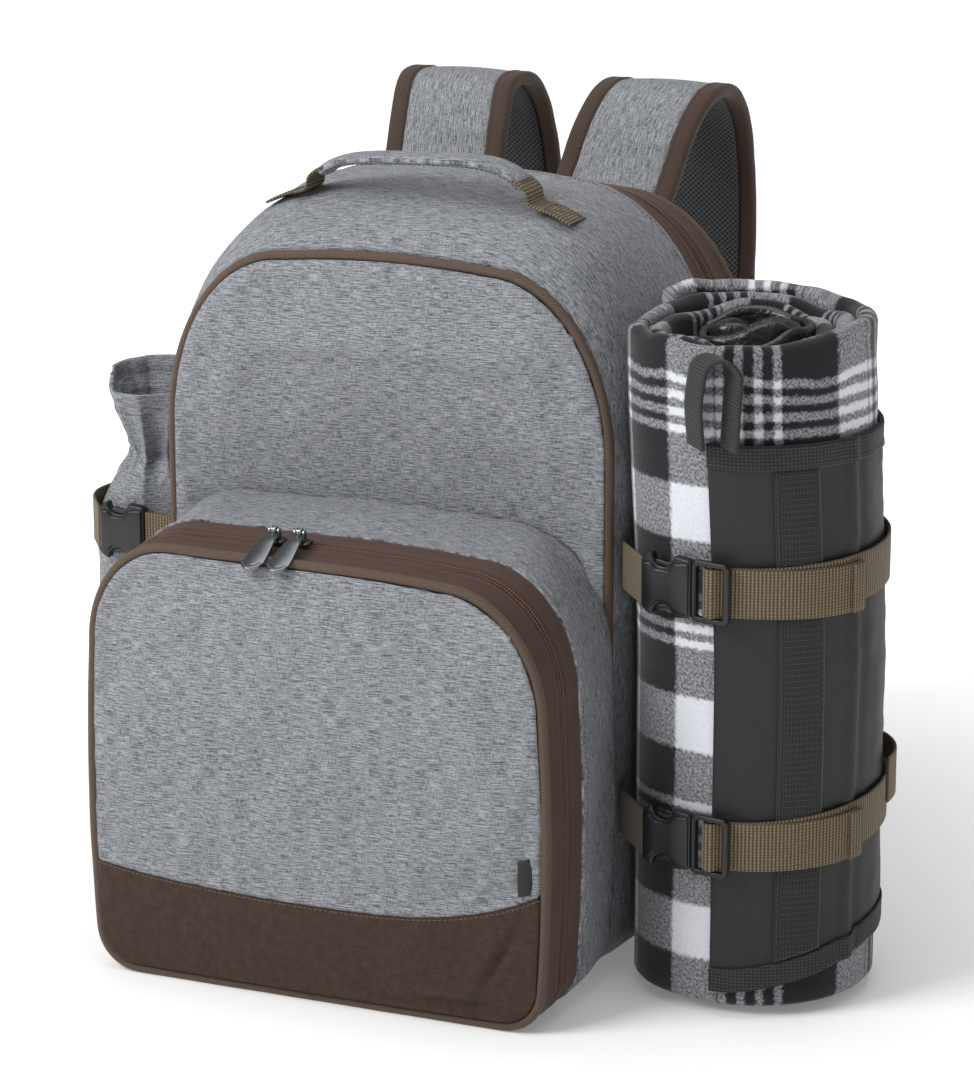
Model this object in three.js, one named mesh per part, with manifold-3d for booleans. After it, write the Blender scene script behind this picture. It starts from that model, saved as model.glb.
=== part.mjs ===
// Cooler backpack with a zipped front pocket, a gathered bottle pocket and a strapped-on blanket roll.
// Millimetres, +Z up. The front faces -Y. The origin is the centre of the base, on the floor.
import * as THREE from "three";
import { mergeVertices } from "three/addons/utils/BufferGeometryUtils.js";
import Module from "manifold-3d";

const wasm = await Module();
wasm.setup();

// Main body and front pocket
const FRONT_WIDTH = 300;
const BACK_WIDTH = 343;
const FRONT_HEIGHT = 449;
const CREST_HEIGHT = 482;
const BACK_HEIGHT = 468;
const POCKET_DEPTH = 112;
const BODY_DEPTH = 303;
const POCKET_HEIGHT = 281;
const POCKET_REAR_RISE = 12;
const POCKET_REAR_HEIGHT = POCKET_HEIGHT + POCKET_REAR_RISE;
const POCKET_SPREAD = 3;
const POCKET_OVER = 1;
const CORNER_WIDE = 80;
const CORNER_HIGH = 115;
const POCKET_CORNER_WIDE = 66;
const POCKET_CORNER_HIGH = 80;
const FOOT_RADIUS = 27;
const CROWN = 4;
const BODY_WALL = 4;
const POCKET_WALL = 2.5;
const PANEL_BULGE = 8;
const BULGE_START = 38;
const POCKET_BULGE = 10.8;
const BASE_BAND_HEIGHT = 66;
const BASE_BAND_LEFT_RISE = 9;
const BASE_BAND_RIGHT_RISE = 24;
const BASE_BAND_MARGIN = 20;
const SIDE_TAB_WIDE = 11;
const SIDE_TAB_HIGH = 23;
const SIDE_TAB_THICK = 1.2;
const SIDE_TAB_IN = 7;
const SIDE_TAB_AT = 103;
const SEAM_GAP = 0.3;
const LEAST_GAP = 4;

// Piping and zips
const PIPING_RADIUS = 3.2;
const PIPING_PROUD = 1.5;
const PIPING_SIDES = 6;
const TAPE_END_SHARE = 0.004;
const TAPE_THICK = 1.5;
const TAPE_SUNK = 1.2;
const COIL_WIDE = 6;
const COIL_THICK = 2.6;
const COIL_PROUD = 0.9;
const POCKET_ZIP_BAND = 50;
const POCKET_COIL_BACK = 26;
const MAIN_ZIP_BAND = 42;
const MAIN_COIL_BACK = 21;

// Zip sliders and pull tabs
const SLIDER_LONG = 11;
const SLIDER_WIDE = 11;
const SLIDER_THICK = 3.2;
const LUG_THICK = 1.6;
const LUG_HIGH = 7.5;
const LUG_LONG = 5;
const LUG_FORWARD = 3.5;
const LUG_SUNK = 0.1;
const PIN_RADIUS = 0.9;
const PIN_BELOW_LUG = 0.8;
const PIN_HEIGHT = SLIDER_THICK + LUG_HIGH - PIN_RADIUS - PIN_BELOW_LUG;
const PIN_SIDES = 10;
const EYE_CLEARANCE = 0.35;
const EYE_WALL = 1.1;
const PULL_LONG = 41;
const PULL_WIDE = 14;
const PULL_NECK_WIDE = 3.6;
const PULL_THICK = 1.6;
const PULL_SHOULDER = 13;
const PULL_SHOULDER_SHARE = 0.66;
const PULL_CHAMFER = 4;
const PULL_BLADE_SUNK = 0.4;
const PULL_DROP_DEG = 23;
const PULL_LEFT_OUT = 35;
const PULL_RIGHT_OUT = 18;

// Back, shoulder straps and carry handle
const BACK_PAD_WIDE = 232;
const BACK_PAD_LOW = 60;
const BACK_PAD_HIGH = 372;
const BACK_PAD_THICK = 8;
const BACK_PAD_CORNER = 34;
const STRAP_WIDE = 86;
const STRAP_BINDING = 14;
const STRAP_FOAM = 8;
const STRAP_MESH = 2.5;
const STRAP_BINDING_THICK = 9;
const STRAP_STEPS = 20;
const STRAP_ROOT_OUT = 60;
const STRAP_TOP_OUT = 72;
const STRAP_TOP = 512;
const STRAP_REACH = 182;
const STRAP_ROOT_HEIGHT = 388;
const WEBBING_WIDE = 30;
const WEBBING_THICK = 1.6;
const STRAP_WEBBING_WIDE = 25;
const STRAP_BUCKLE_WIDE = 33;
const ANCHOR_OUT = 134;
const ANCHOR_HEIGHT = 42;
const ANCHOR_SEWN = 24;
const HANDLE_BACK = 60;
const HANDLE_SPAN = 150;
const HANDLE_RISE = 20;
const HANDLE_LIFT = 3;
const HANDLE_WIDE = 27;
const HANDLE_THICK = 8;
const HANDLE_TAB = 24;
const HANDLE_GRIP_SHORT = 8;
const HANDLE_GRIP_NARROW = 3;
const HANDLE_FOLD = 7;

// Bottle pocket
const POUCH_RADIUS = 41;
const POUCH_BACK = 73;
const POUCH_HEIGHT = 348;
const POUCH_WAIST_HEIGHT = 291;
const POUCH_RIM_TILT = 6;
const POUCH_WALL = 2.2;
const POUCH_STRAP_HEIGHT = 245;
const POUCH_STRAP_REACH = 50;
const POUCH_BUCKLE_DEG = -93;
const POUCH_OUT = 0.93;
const POUCH_FOLDS = 9;
const POUCH_STEPS = 27;

// Blanket roll and its carrier
const ROLL_RADIUS = 77;
const ROLL_OUT = 233;
const ROLL_BACK = 36;
const ROLL_LOW = 6;
const ROLL_HEIGHT = 426;
const FLEECE_TURNS = 2.78;
const FLEECE_PITCH = 12;
const BACKING_TURNS = 4;
const BACKING_PITCH = 7.5;
const LAYER_GAP = 0.6;
const ROLL_STEPS = 24;
const ROLL_TILT = 3;
const ROLL_WAVE = 2;
const ROLL_SINK = 4;
const ROLL_FOLD_HOLD = 0.78;
const CORE_DROP = 6;
const CORE_WAVE = 5;
const LAYER_CHAMFER = 0.3;
const CORE_STEPS = 12;
const CARRIER_THICK = 1.2;
const CARRIER_LOW = 17;
const CARRIER_HIGH = 361;
const CARRIER_LOW_RISE = 24;
const CARRIER_RISE_OVER_DEG = 100;
const CARRIER_STEPS = 16;
const LADDER_STEPS = 3;
const CARRIER_FROM_DEG = -87;
const CARRIER_TO_DEG = 153;
const HEM_WIDE = 15;
const LADDER_FROM_DEG = -62;
const LADDER_TO_DEG = -41;
const UPPER_STRAP_HEIGHT = 272;
const LOWER_STRAP_HEIGHT = 113;
const LOWER_STRAP_CLIMB = 12;
const STRAP_CLIMB_OVER_DEG = 120;
const STRAP_WRAP_STEPS = 13;
const STRAP_TAIL_STEPS = 5;
const SLACK_FROM_DEG = 8;
const SLACK_TO_DEG = 58;
const SLACK_STAND = 5;
const SLACK_ABOVE = 22;
const STRAP_SEAT_DROP = 6;
const STRAP_FRONT_SEAT = 9;
const STRAP_REAR_SEAT = 128;
const TAIL_TO_DEG = -22;
const ROLL_BUCKLE_DEG = -101;
const CARRY_LOOP_DEG = -85;
const CARRY_LOOP_WIDE = 25;
const CARRY_LOOP_HIGH = 54;
const CARRY_LOOP_SPAN = 22;

// Side-release buckles
const BUCKLE_WIDE = 38;
const BUCKLE_BODY_LONG = 34;
const BUCKLE_FRAME_LONG = 25;
const BUCKLE_THICK = 9;
const BUCKLE_FRAME_THICK = 4.5;
const BUCKLE_NOTCH = 7.5;
const BUCKLE_BAR = 3.2;
const BUCKLE_LIFT = 2.4;
const BUCKLE_FRONT_GAP = 0.3;
const BUCKLE_REAR_GAP = 0.9;
const BUCKLE_NOTCH_AT = 0.42;
const BUCKLE_CHAMFER = 0.16;
const BUCKLE_END_WIDE = 0.86;
const BUCKLE_MOUTH_WIDE = 0.94;

const LOOKS = {
  heather: { color: 0x8a8d92, roughness: 0.95, metalness: 0 },
  binding: { color: 0x4a3228, roughness: 0.85, metalness: 0 },
  twill: { color: 0x473129, roughness: 0.9, metalness: 0 },
  webbing: { color: 0x6e5b45, roughness: 0.85, metalness: 0 },
  mesh: { color: 0x151516, roughness: 0.8, metalness: 0 },
  nylon: { color: 0x17181a, roughness: 0.7, metalness: 0 },
  fleece: { color: 0x77787c, roughness: 1, metalness: 0 },
  backing: { color: 0x141415, roughness: 0.6, metalness: 0 },
  plastic: { color: 0x121214, roughness: 0.4, metalness: 0 },
  metal: { color: 0x8d8f93, roughness: 0.25, metalness: 1 },
};

// How the main body swells from its front seam to its back seam. depth is a share of the way back,
// spread of the growth in width, rise of the climb to the crest, fall of the drop from the crest to the
// back, wide and high of the corner sizes.
const MAIN_FORM = [
  { depth: 0, spread: 0, rise: 0, fall: 0, wide: 1, high: 1 },
  { depth: 0.1, spread: 0.24, rise: 0.42, fall: 0, wide: 1.05, high: 1.04 },
  { depth: 0.3, spread: 0.45, rise: 0.85, fall: 0, wide: 1.14, high: 1.1 },
  { depth: 0.54, spread: 0.6, rise: 1, fall: 0, wide: 1.22, high: 1.13 },
  { depth: 0.78, spread: 0.73, rise: 1, fall: 0, wide: 1.24, high: 1.13 },
  { depth: 1, spread: 1, rise: 1, fall: 1, wide: 1.08, high: 0.97 },
];

// The pocket's swell, in shares of its spread and of the rise to its rear edge.
const POCKET_FORM = [
  { depth: 0, spread: 0, rise: 0 },
  { depth: 0.24, spread: 0.7, rise: 0.3 },
  { depth: 0.45, spread: 1, rise: 0.42 },
  { depth: 0.75, spread: 0.6, rise: 0.72 },
  { depth: 1, spread: 0.3, rise: 1 },
];

// Radii of the bottle pocket up its height. height is a share of the pocket's height below the waist,
// radius and pleat, the depth of the gathers, are shares of its radius.
const POUCH_FORM = [
  { height: 0.012, radius: 1.02, pleat: 0 },
  { height: 0.2, radius: 1.04, pleat: 0 },
  { height: 0.6, radius: 0.99, pleat: 0 },
  { height: 0.85, radius: 0.99, pleat: 0.01 },
  { height: 0.94, radius: 0.88, pleat: 0.04 },
  { height: 1, radius: 0.64, pleat: 0.09 },
];

// The gathered neck above the waist, in shares of the neck's height and of the pocket's radius.
const NECK_FORM = [
  { height: 0.2, radius: 0.7, pleat: 0.09 },
  { height: 0.6, radius: 0.9, pleat: 0.05 },
  { height: 1, radius: 1.02, pleat: 0.02 },
];

// The shoulder strap's line behind the back panel: back as a share of its reach, high as a share
// of the way from the root to the top, out as a share of the way from the root's offset to the top's.
const STRAP_LINE = [
  { back: 0.04, high: 0, out: 0 },
  { back: 0.06, high: 0.17, out: 0.02 },
  { back: 0.14, high: 0.39, out: 0.08 },
  { back: 0.26, high: 0.6, out: 0.25 },
  { back: 0.38, high: 0.85, out: 0.6 },
  { back: 0.52, high: 1, out: 1 },
  { back: 0.74, high: 0.98, out: 1.08 },
  { back: 0.89, high: 0.78, out: 1.08 },
  { back: 0.98, high: 0.42, out: 1 },
  { back: 1, high: -0.05, out: 0.95 },
  { back: 0.93, high: -0.55, out: 1.1 },
  { back: 0.76, high: -1.02, out: 1.5 },
  { back: 0.56, high: -1.4, out: 2.1 },
];

// Rings of a bulged panel, as shares of the way from its middle to its edge.
const MAIN_RINGS = [1, 0.86, 0.68, 0.46, 0.2];
const POCKET_RINGS = [1, 0.9, 0.72, 0.4];
const BACK_RINGS = [1, 0.5];

// The webbing's way through a buckle's ladder frame. side picks the slot, slot is a share of the slot's
// width from the middle bar, lift a share of the frame's thickness above its middle.
const LOOP_FORM = [
  { side: 1, slot: 0.6, lift: -0.51 },
  { side: 1, slot: 0.3, lift: 0.13 },
  { side: 1, slot: 0.09, lift: 0.72 },
  { side: 0, slot: 0, lift: 0.81 },
  { side: -1, slot: 0.09, lift: 0.72 },
  { side: -1, slot: 0.45, lift: 0.13 },
  { side: -1, slot: 0.4, lift: -0.53 },
  { side: -1, slot: 0.15, lift: -0.8 },
];

// The carry loop's two legs, in shares of half its span and of its height.
const CARRY_LOOP_UP = [
  { across: -1, high: 0 },
  { across: -1.18, high: 0.45 },
];
const CARRY_LOOP_DOWN = [
  { across: 0.91, high: 0.4 },
  { across: 0.82, high: 0 },
];

const backSeam = BODY_DEPTH - PIPING_RADIUS - SEAM_GAP;
const rollCentre = new THREE.Vector2(ROLL_OUT, POCKET_DEPTH + ROLL_BACK);
const pouchBack = POCKET_DEPTH + POUCH_BACK;
const wrapRadius = ROLL_RADIUS + 2 * (CARRIER_THICK + SEAM_GAP) + LAYER_GAP;
const UP = new THREE.Vector3(0, 0, 1);
const RIGHT = new THREE.Vector3(1, 0, 0);
const BACK = new THREE.Vector3(0, 1, 0);

// Small sums

function mix(a, b, share) {
  return a + (b - a) * share;
}

function ease(share) {
  const held = THREE.MathUtils.clamp(share, 0, 1);
  return held * held * (3 - 2 * held);
}

function rowAt(table, key, value) {
  let k = 1;
  while (k < table.length - 1 && table[k][key] < value) k += 1;
  const low = table[k - 1];
  const high = table[k];
  const share = THREE.MathUtils.clamp((value - low[key]) / (high[key] - low[key]), 0, 1);
  return Object.fromEntries(Object.keys(low).map((name) => [name, mix(low[name], high[name], share)]));
}

function steps(from, to, count) {
  return Array.from({ length: count + 1 }, (_, i) => mix(from, to, i / count));
}

// Sections of the body: an arch with round shoulders that stands on a flat foot

function mainSection(y) {
  const form = rowAt(MAIN_FORM, "depth", (y - POCKET_DEPTH) / (BODY_DEPTH - POCKET_DEPTH));
  return {
    half: mix(FRONT_WIDTH, BACK_WIDTH, form.spread) / 2,
    top: mix(FRONT_HEIGHT, CREST_HEIGHT, form.rise) - (CREST_HEIGHT - BACK_HEIGHT) * form.fall,
    wide: CORNER_WIDE * form.wide,
    high: CORNER_HIGH * form.high,
    foot: FOOT_RADIUS,
    floor: 0,
    barrel: 0,
  };
}

function pocketSection(y) {
  const form = rowAt(POCKET_FORM, "depth", y / POCKET_DEPTH);
  return {
    half: FRONT_WIDTH / 2 + POCKET_OVER + POCKET_SPREAD * form.spread,
    top: mix(POCKET_HEIGHT, POCKET_REAR_HEIGHT, form.rise),
    wide: POCKET_CORNER_WIDE,
    high: POCKET_CORNER_HIGH,
    foot: FOOT_RADIUS,
    floor: 0,
    barrel: POCKET_SPREAD,
  };
}

function inset(section, by) {
  return {
    ...section,
    half: section.half - by,
    top: section.top - by,
    wide: section.wide - by,
    high: section.high - by,
    foot: section.foot - by,
    floor: section.floor + by,
  };
}

// Shares of half an outline at which its stretches end: sole, foot, side, shoulder and top.
const STRETCH = { sole: 0.2, foot: 0.3, side: 0.58, shoulder: 0.86, top: 1 };
const STRETCH_STEPS = { sole: 2, foot: 3, side: 3, shoulder: 6, top: 3 };

function archPoint(section, share) {
  const mirrored = share > 0.5;
  const way = (mirrored ? 1 - share : share) * 2;
  const shoulder = section.top - CROWN - section.high;
  let x;
  let z;
  if (way <= STRETCH.sole) {
    x = (section.half - section.foot) * (way / STRETCH.sole);
    z = section.floor;
  } else if (way <= STRETCH.foot) {
    const turn = ((way - STRETCH.sole) / (STRETCH.foot - STRETCH.sole)) * (Math.PI / 2);
    x = section.half - section.foot + section.foot * Math.sin(turn);
    z = section.floor + section.foot * (1 - Math.cos(turn));
  } else if (way <= STRETCH.side) {
    const climb = (way - STRETCH.foot) / (STRETCH.side - STRETCH.foot);
    x = section.half + section.barrel * Math.sin(Math.PI * climb);
    z = mix(section.floor + section.foot, shoulder, climb);
  } else if (way <= STRETCH.shoulder) {
    const turn = ((way - STRETCH.side) / (STRETCH.shoulder - STRETCH.side)) * (Math.PI / 2);
    x = section.half - section.wide + section.wide * Math.cos(turn);
    z = shoulder + section.high * Math.sin(turn);
  } else {
    const along = (STRETCH.top - way) / (STRETCH.top - STRETCH.shoulder);
    x = (section.half - section.wide) * along;
    z = section.top - CROWN * along * along;
  }
  return [mirrored ? -x : x, z];
}

function halfShares(fromStretch) {
  const names = Object.keys(STRETCH);
  const shares = [];
  names.slice(names.indexOf(fromStretch)).forEach((name) => {
    const before = names[names.indexOf(name) - 1];
    const start = before ? STRETCH[before] : 0;
    steps(start, STRETCH[name], STRETCH_STEPS[name]).slice(1).forEach((way) => shares.push(way / 2));
  });
  return shares;
}

// The whole outline, from the middle of the sole round to the last point before it.
function ringShares() {
  const right = halfShares("sole");
  const left = right.slice(0, -1).map((share) => 1 - share).reverse();
  return [0, ...right, ...left];
}

// The arch above the feet, which a zip runs over.
function overShares() {
  const right = [STRETCH.foot / 2, ...halfShares("side")];
  const left = right.slice(0, -1).map((share) => 1 - share).reverse();
  return [...right, ...left];
}

// The sole with both feet, which closes the ring below a zip.
function underShares() {
  const right = [0, ...halfShares("sole")].filter((share) => share <= STRETCH.foot / 2 + 1e-9);
  const left = right.slice(1).map((share) => -share).reverse();
  return [...left, ...right];
}

// Solids from grids of points

function signedVolume(points, faces) {
  let sum = 0;
  for (let i = 0; i < faces.length; i += 3) {
    const [a, b, c] = [points[faces[i]], points[faces[i + 1]], points[faces[i + 2]]];
    sum += a.dot(b.clone().cross(c)) / 6;
  }
  return sum;
}

function geometryOf(points, faces) {
  const turned = signedVolume(points, faces) < 0;
  const index = [];
  for (let i = 0; i < faces.length; i += 3) {
    const [a, b, c] = faces.slice(i, i + 3);
    index.push(a, turned ? c : b, turned ? b : c);
  }
  const geometry = new THREE.BufferGeometry();
  geometry.setAttribute("position", new THREE.Float32BufferAttribute(points.flatMap((p) => p.toArray()), 3));
  geometry.setIndex(index);
  geometry.computeVertexNormals();
  return geometry;
}

// A wall between two grids of points, [row][column]. loop joins the last row to the first, and
// poles are the two middle points that close the last column of a disc.
function wall(outer, inner, { loop = false, poles = null } = {}) {
  const rows = outer.length;
  const columns = outer[0].length;
  const points = [...outer.flat(), ...inner.flat(), ...(poles ?? [])];
  const front = (i, j) => (i % rows) * columns + j;
  const back = (i, j) => rows * columns + front(i, j);
  const faces = [];
  const quad = (a, b, c, d) => faces.push(a, b, c, a, c, d);
  for (let i = 0; i < (loop ? rows : rows - 1); i += 1) {
    for (let j = 0; j < columns - 1; j += 1) {
      quad(front(i, j), front(i + 1, j), front(i + 1, j + 1), front(i, j + 1));
      quad(back(i, j), back(i, j + 1), back(i + 1, j + 1), back(i + 1, j));
    }
    quad(front(i, 0), back(i, 0), back(i + 1, 0), front(i + 1, 0));
    if (poles) {
      const middle = 2 * rows * columns;
      faces.push(front(i, columns - 1), front(i + 1, columns - 1), middle);
      faces.push(back(i + 1, columns - 1), back(i, columns - 1), middle + 1);
    } else {
      const last = columns - 1;
      quad(front(i + 1, last), back(i + 1, last), back(i, last), front(i, last));
    }
  }
  if (!loop) {
    const last = rows - 1;
    for (let j = 0; j < columns - 1; j += 1) {
      quad(front(0, j), front(0, j + 1), back(0, j + 1), back(0, j));
      quad(front(last, j + 1), front(last, j), back(last, j), back(last, j + 1));
    }
  }
  return geometryOf(points, faces);
}

// A strip of webbing, foam or cloth: a centre line of points, given a width and a thickness.
function ribbon(path, across, wide, thick) {
  const outer = [];
  const inner = [];
  path.forEach((point, i) => {
    const ahead = path[Math.min(i + 1, path.length - 1)];
    const behind = path[Math.max(i - 1, 0)];
    const out = ahead.clone().sub(behind).cross(across).normalize();
    const edges = [-wide / 2, wide / 2].map((shift) => point.clone().addScaledVector(across, shift));
    outer.push(edges.map((edge) => edge.clone().addScaledVector(out, thick / 2)));
    inner.push(edges.map((edge) => edge.clone().addScaledVector(out, -thick / 2)));
  });
  return wall(outer, inner);
}

// A round bar bent along a ring of points that lies in one plane facing Y.
function hoop(centres, radius, sides) {
  const count = centres.length;
  const around = steps(0, 2 * Math.PI, sides).slice(0, -1);
  const points = [];
  centres.forEach((centre, i) => {
    const along = centres[(i + 1) % count].clone().sub(centres[(i + count - 1) % count]).normalize();
    const out = along.clone().cross(BACK);
    around.forEach((turn) => {
      const point = centre.clone().addScaledVector(out, radius * Math.cos(turn));
      point.y += radius * Math.sin(turn);
      point.z = Math.max(point.z, 0);
      points.push(point);
    });
  });
  const faces = [];
  for (let i = 0; i < count; i += 1) {
    for (let j = 0; j < sides; j += 1) {
      const [a, b] = [i * sides + j, ((i + 1) % count) * sides + j];
      const [c, d] = [((i + 1) % count) * sides + ((j + 1) % sides), i * sides + ((j + 1) % sides)];
      faces.push(a, b, c, a, c, d);
    }
  }
  return geometryOf(points, faces);
}

function manifoldOf(geometry) {
  const bare = geometry.clone();
  bare.deleteAttribute("normal");
  bare.deleteAttribute("uv");
  const merged = mergeVertices(bare, 1e-4);
  return new wasm.Manifold(
    new wasm.Mesh({
      numProp: 3,
      vertProperties: merged.attributes.position.array,
      triVerts: new Uint32Array(merged.index.array),
    }),
  );
}

function cut(geometry, other, way) {
  const mesh = manifoldOf(geometry)[way](manifoldOf(other)).getMesh();
  const result = new THREE.BufferGeometry();
  result.setAttribute("position", new THREE.BufferAttribute(mesh.vertProperties, 3));
  result.setIndex(new THREE.BufferAttribute(mesh.triVerts, 1));
  result.computeVertexNormals();
  return result;
}

function piece(name, geometry, look) {
  const mesh = new THREE.Mesh(geometry, new THREE.MeshStandardMaterial(LOOKS[look]));
  mesh.name = name;
  return mesh;
}

// Rings of the body: each is a wall between an outer outline and the same outline set in

function ringWall(section, shares, depths, sunk, thick, loop, shape = (x) => x) {
  const grid = (by) =>
    shares.map((share) =>
      depths.map((y) => {
        const [x, z] = archPoint(inset(section(y), by), (share + 1) % 1);
        return new THREE.Vector3(shape(x, y, z, by), y, z);
      }),
    );
  return wall(grid(sunk), grid(sunk + thick), { loop });
}

// The rolled blanket presses the body's right side in where the two meet.
function besideRoll(x, y, z, by) {
  const reach = Math.abs(y - rollCentre.y);
  if (reach >= ROLL_RADIUS) return x;
  const touch = rollCentre.x - Math.sqrt(ROLL_RADIUS ** 2 - reach ** 2) - 2 * SEAM_GAP;
  return Math.min(x, touch - by);
}

function depthsOf(form, from, to) {
  const whole = form === MAIN_FORM ? [POCKET_DEPTH, BODY_DEPTH] : [0, POCKET_DEPTH];
  const rows = form.map((row) => mix(whole[0], whole[1], row.depth));
  const inner = rows.filter((y) => y > from + LEAST_GAP && y < to - LEAST_GAP);
  return [from, ...inner, to];
}

function pipingRing(section, y) {
  const line = inset(section(y), PIPING_RADIUS - PIPING_PROUD);
  line.floor = PIPING_RADIUS;
  const centres = ringShares().map((share) => {
    const [x, z] = archPoint(line, share);
    return new THREE.Vector3(x, y, z);
  });
  return hoop(centres, PIPING_RADIUS, PIPING_SIDES);
}

// A panel that fits inside a piping ring and bulges forward by bulge(x, z).
function panel(section, y, front, thick, rings, bulge) {
  const rim = inset(section(y), 2 * PIPING_RADIUS - PIPING_PROUD + SEAM_GAP);
  rim.floor = 2 * PIPING_RADIUS + SEAM_GAP;
  const middle = [0, rim.top / 2];
  const place = (share, ring, behind) => {
    const [x, z] = archPoint(rim, share);
    const at = [mix(middle[0], x, ring), mix(middle[1], z, ring)];
    return new THREE.Vector3(at[0], front - bulge(...at) + behind, at[1]);
  };
  const grid = (behind) => ringShares().map((share) => rings.map((ring) => place(share, ring, behind)));
  return wall(grid(0), grid(thick), {
    loop: true,
    poles: [place(0, 0, 0), place(0, 0, thick)],
  });
}

function mainBulge(x, z) {
  const low = POCKET_REAR_HEIGHT + BULGE_START;
  const climb = THREE.MathUtils.clamp((z - low) / (FRONT_HEIGHT - low), 0, 1);
  const across = Math.cos((Math.PI * x) / FRONT_WIDTH);
  return PANEL_BULGE * Math.sin(Math.PI * climb) * Math.max(across, 0);
}

function pocketBulge(x, z) {
  const across = Math.max(1 - (2 * x / FRONT_WIDTH) ** 2, 0);
  const climb = Math.max(1 - (2 * z / POCKET_HEIGHT - 1) ** 2, 0);
  return POCKET_BULGE * Math.sqrt(across * climb);
}

function mainBody() {
  const body = new THREE.Group();
  const front = POCKET_DEPTH - PIPING_RADIUS;
  const gussetFrom = POCKET_DEPTH + PIPING_RADIUS + SEAM_GAP;
  const gussetTo = backSeam - MAIN_ZIP_BAND - SEAM_GAP;
  const panelShape = panel(mainSection, POCKET_DEPTH, front, BODY_WALL, MAIN_RINGS, mainBulge);
  const gussetDepths = depthsOf(MAIN_FORM, gussetFrom, gussetTo);
  const gusset = ringWall(mainSection, ringShares(), gussetDepths, 0, BODY_WALL, true, besideRoll);
  body.add(piece("main_front_panel", panelShape, "heather"));
  body.add(piece("main_gusset", gusset, "heather"));
  body.add(piece("main_front_piping", pipingRing(mainSection, POCKET_DEPTH), "binding"));
  body.add(piece("main_rear_piping", pipingRing(mainSection, BODY_DEPTH), "binding"));
  body.add(...zipBand("main", mainSection, backSeam - MAIN_ZIP_BAND, backSeam, backSeam - MAIN_COIL_BACK));
  return body;
}

function frontPocket() {
  const pocket = new THREE.Group();
  const from = PIPING_RADIUS + SEAM_GAP;
  const to = POCKET_DEPTH - PIPING_RADIUS - SEAM_GAP;
  const whole = panel(pocketSection, 0, -PIPING_RADIUS / 2, POCKET_WALL, POCKET_RINGS, pocketBulge);
  const grey = cut(whole, baseBandCutter(SEAM_GAP), "subtract");
  const brown = cut(whole, baseBandCutter(0), "intersect");
  const gussetDepths = depthsOf(POCKET_FORM, POCKET_ZIP_BAND + SEAM_GAP, to);
  const gusset = ringWall(pocketSection, ringShares(), gussetDepths, 0, POCKET_WALL, true);
  pocket.add(piece("pocket_front_panel", grey, "heather"));
  pocket.add(piece("pocket_base_band", brown, "twill"));
  pocket.add(piece("pocket_piping", pipingRing(pocketSection, 0), "binding"));
  pocket.add(...zipBand("pocket", pocketSection, from, POCKET_ZIP_BAND, POCKET_COIL_BACK));
  pocket.add(piece("pocket_gusset", gusset, "heather"));
  return pocket;
}

// Everything below the seam of the brown band, which rises to both ends.
function baseBandCutter(raise) {
  const half = FRONT_WIDTH / 2 + BASE_BAND_MARGIN;
  const shape = new THREE.Shape();
  shape.moveTo(half, -BASE_BAND_MARGIN);
  shape.lineTo(-half, -BASE_BAND_MARGIN);
  steps(-1, 1, 10).forEach((share) => {
    const rise = share < 0 ? BASE_BAND_LEFT_RISE : BASE_BAND_RIGHT_RISE;
    shape.lineTo(share * half, BASE_BAND_HEIGHT + raise + rise * share * share);
  });
  const block = new THREE.ExtrudeGeometry(shape, { depth: 4 * BASE_BAND_MARGIN, bevelEnabled: false });
  return block.rotateX(Math.PI / 2).translate(0, 2 * BASE_BAND_MARGIN, 0);
}

// Two zip tapes with the coil between them over the arch, and the plain floor strip that joins their feet.
function zipBand(name, section, from, to, coilAt) {
  const over = overShares();
  const coilFrom = coilAt - COIL_WIDE / 2;
  const coilTo = coilAt + COIL_WIDE / 2;
  const shortened = [over[0] + TAPE_END_SHARE, ...over.slice(1, -1), over[over.length - 1] - TAPE_END_SHARE];
  const coilSunk = TAPE_SUNK - COIL_PROUD;
  const strip = (shares, low, high, sunk, thick) =>
    ringWall(section, shares, [low, high], sunk, thick, false);
  const frontTape = strip(shortened, from, coilFrom - SEAM_GAP, TAPE_SUNK, TAPE_THICK);
  const coil = strip(shortened, coilFrom, coilTo, coilSunk, COIL_THICK);
  const rearTape = strip(shortened, coilTo + SEAM_GAP, to, TAPE_SUNK, TAPE_THICK);
  const floor = strip(underShares(), from, to, 0, POCKET_WALL);
  return [
    piece(name + "_zip_tape_front", frontTape, "binding"),
    piece(name + "_zip_coil", coil, "binding"),
    piece(name + "_zip_tape_rear", rearTape, "binding"),
    piece(name + "_floor_strip", floor, "heather"),
  ];
}

// Zip sliders with a pin between two lugs, and the pull tabs that hang on the pins

function sliderFrame(x) {
  const y = POCKET_COIL_BACK;
  const section = inset(pocketSection(y), TAPE_SUNK - COIL_PROUD);
  const along = (Math.abs(x) - SLIDER_LONG / 2) / (section.half - section.wide);
  const surface = section.top - CROWN * along * along;
  return new THREE.Vector3(x, y, surface + SEAM_GAP);
}

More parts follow.
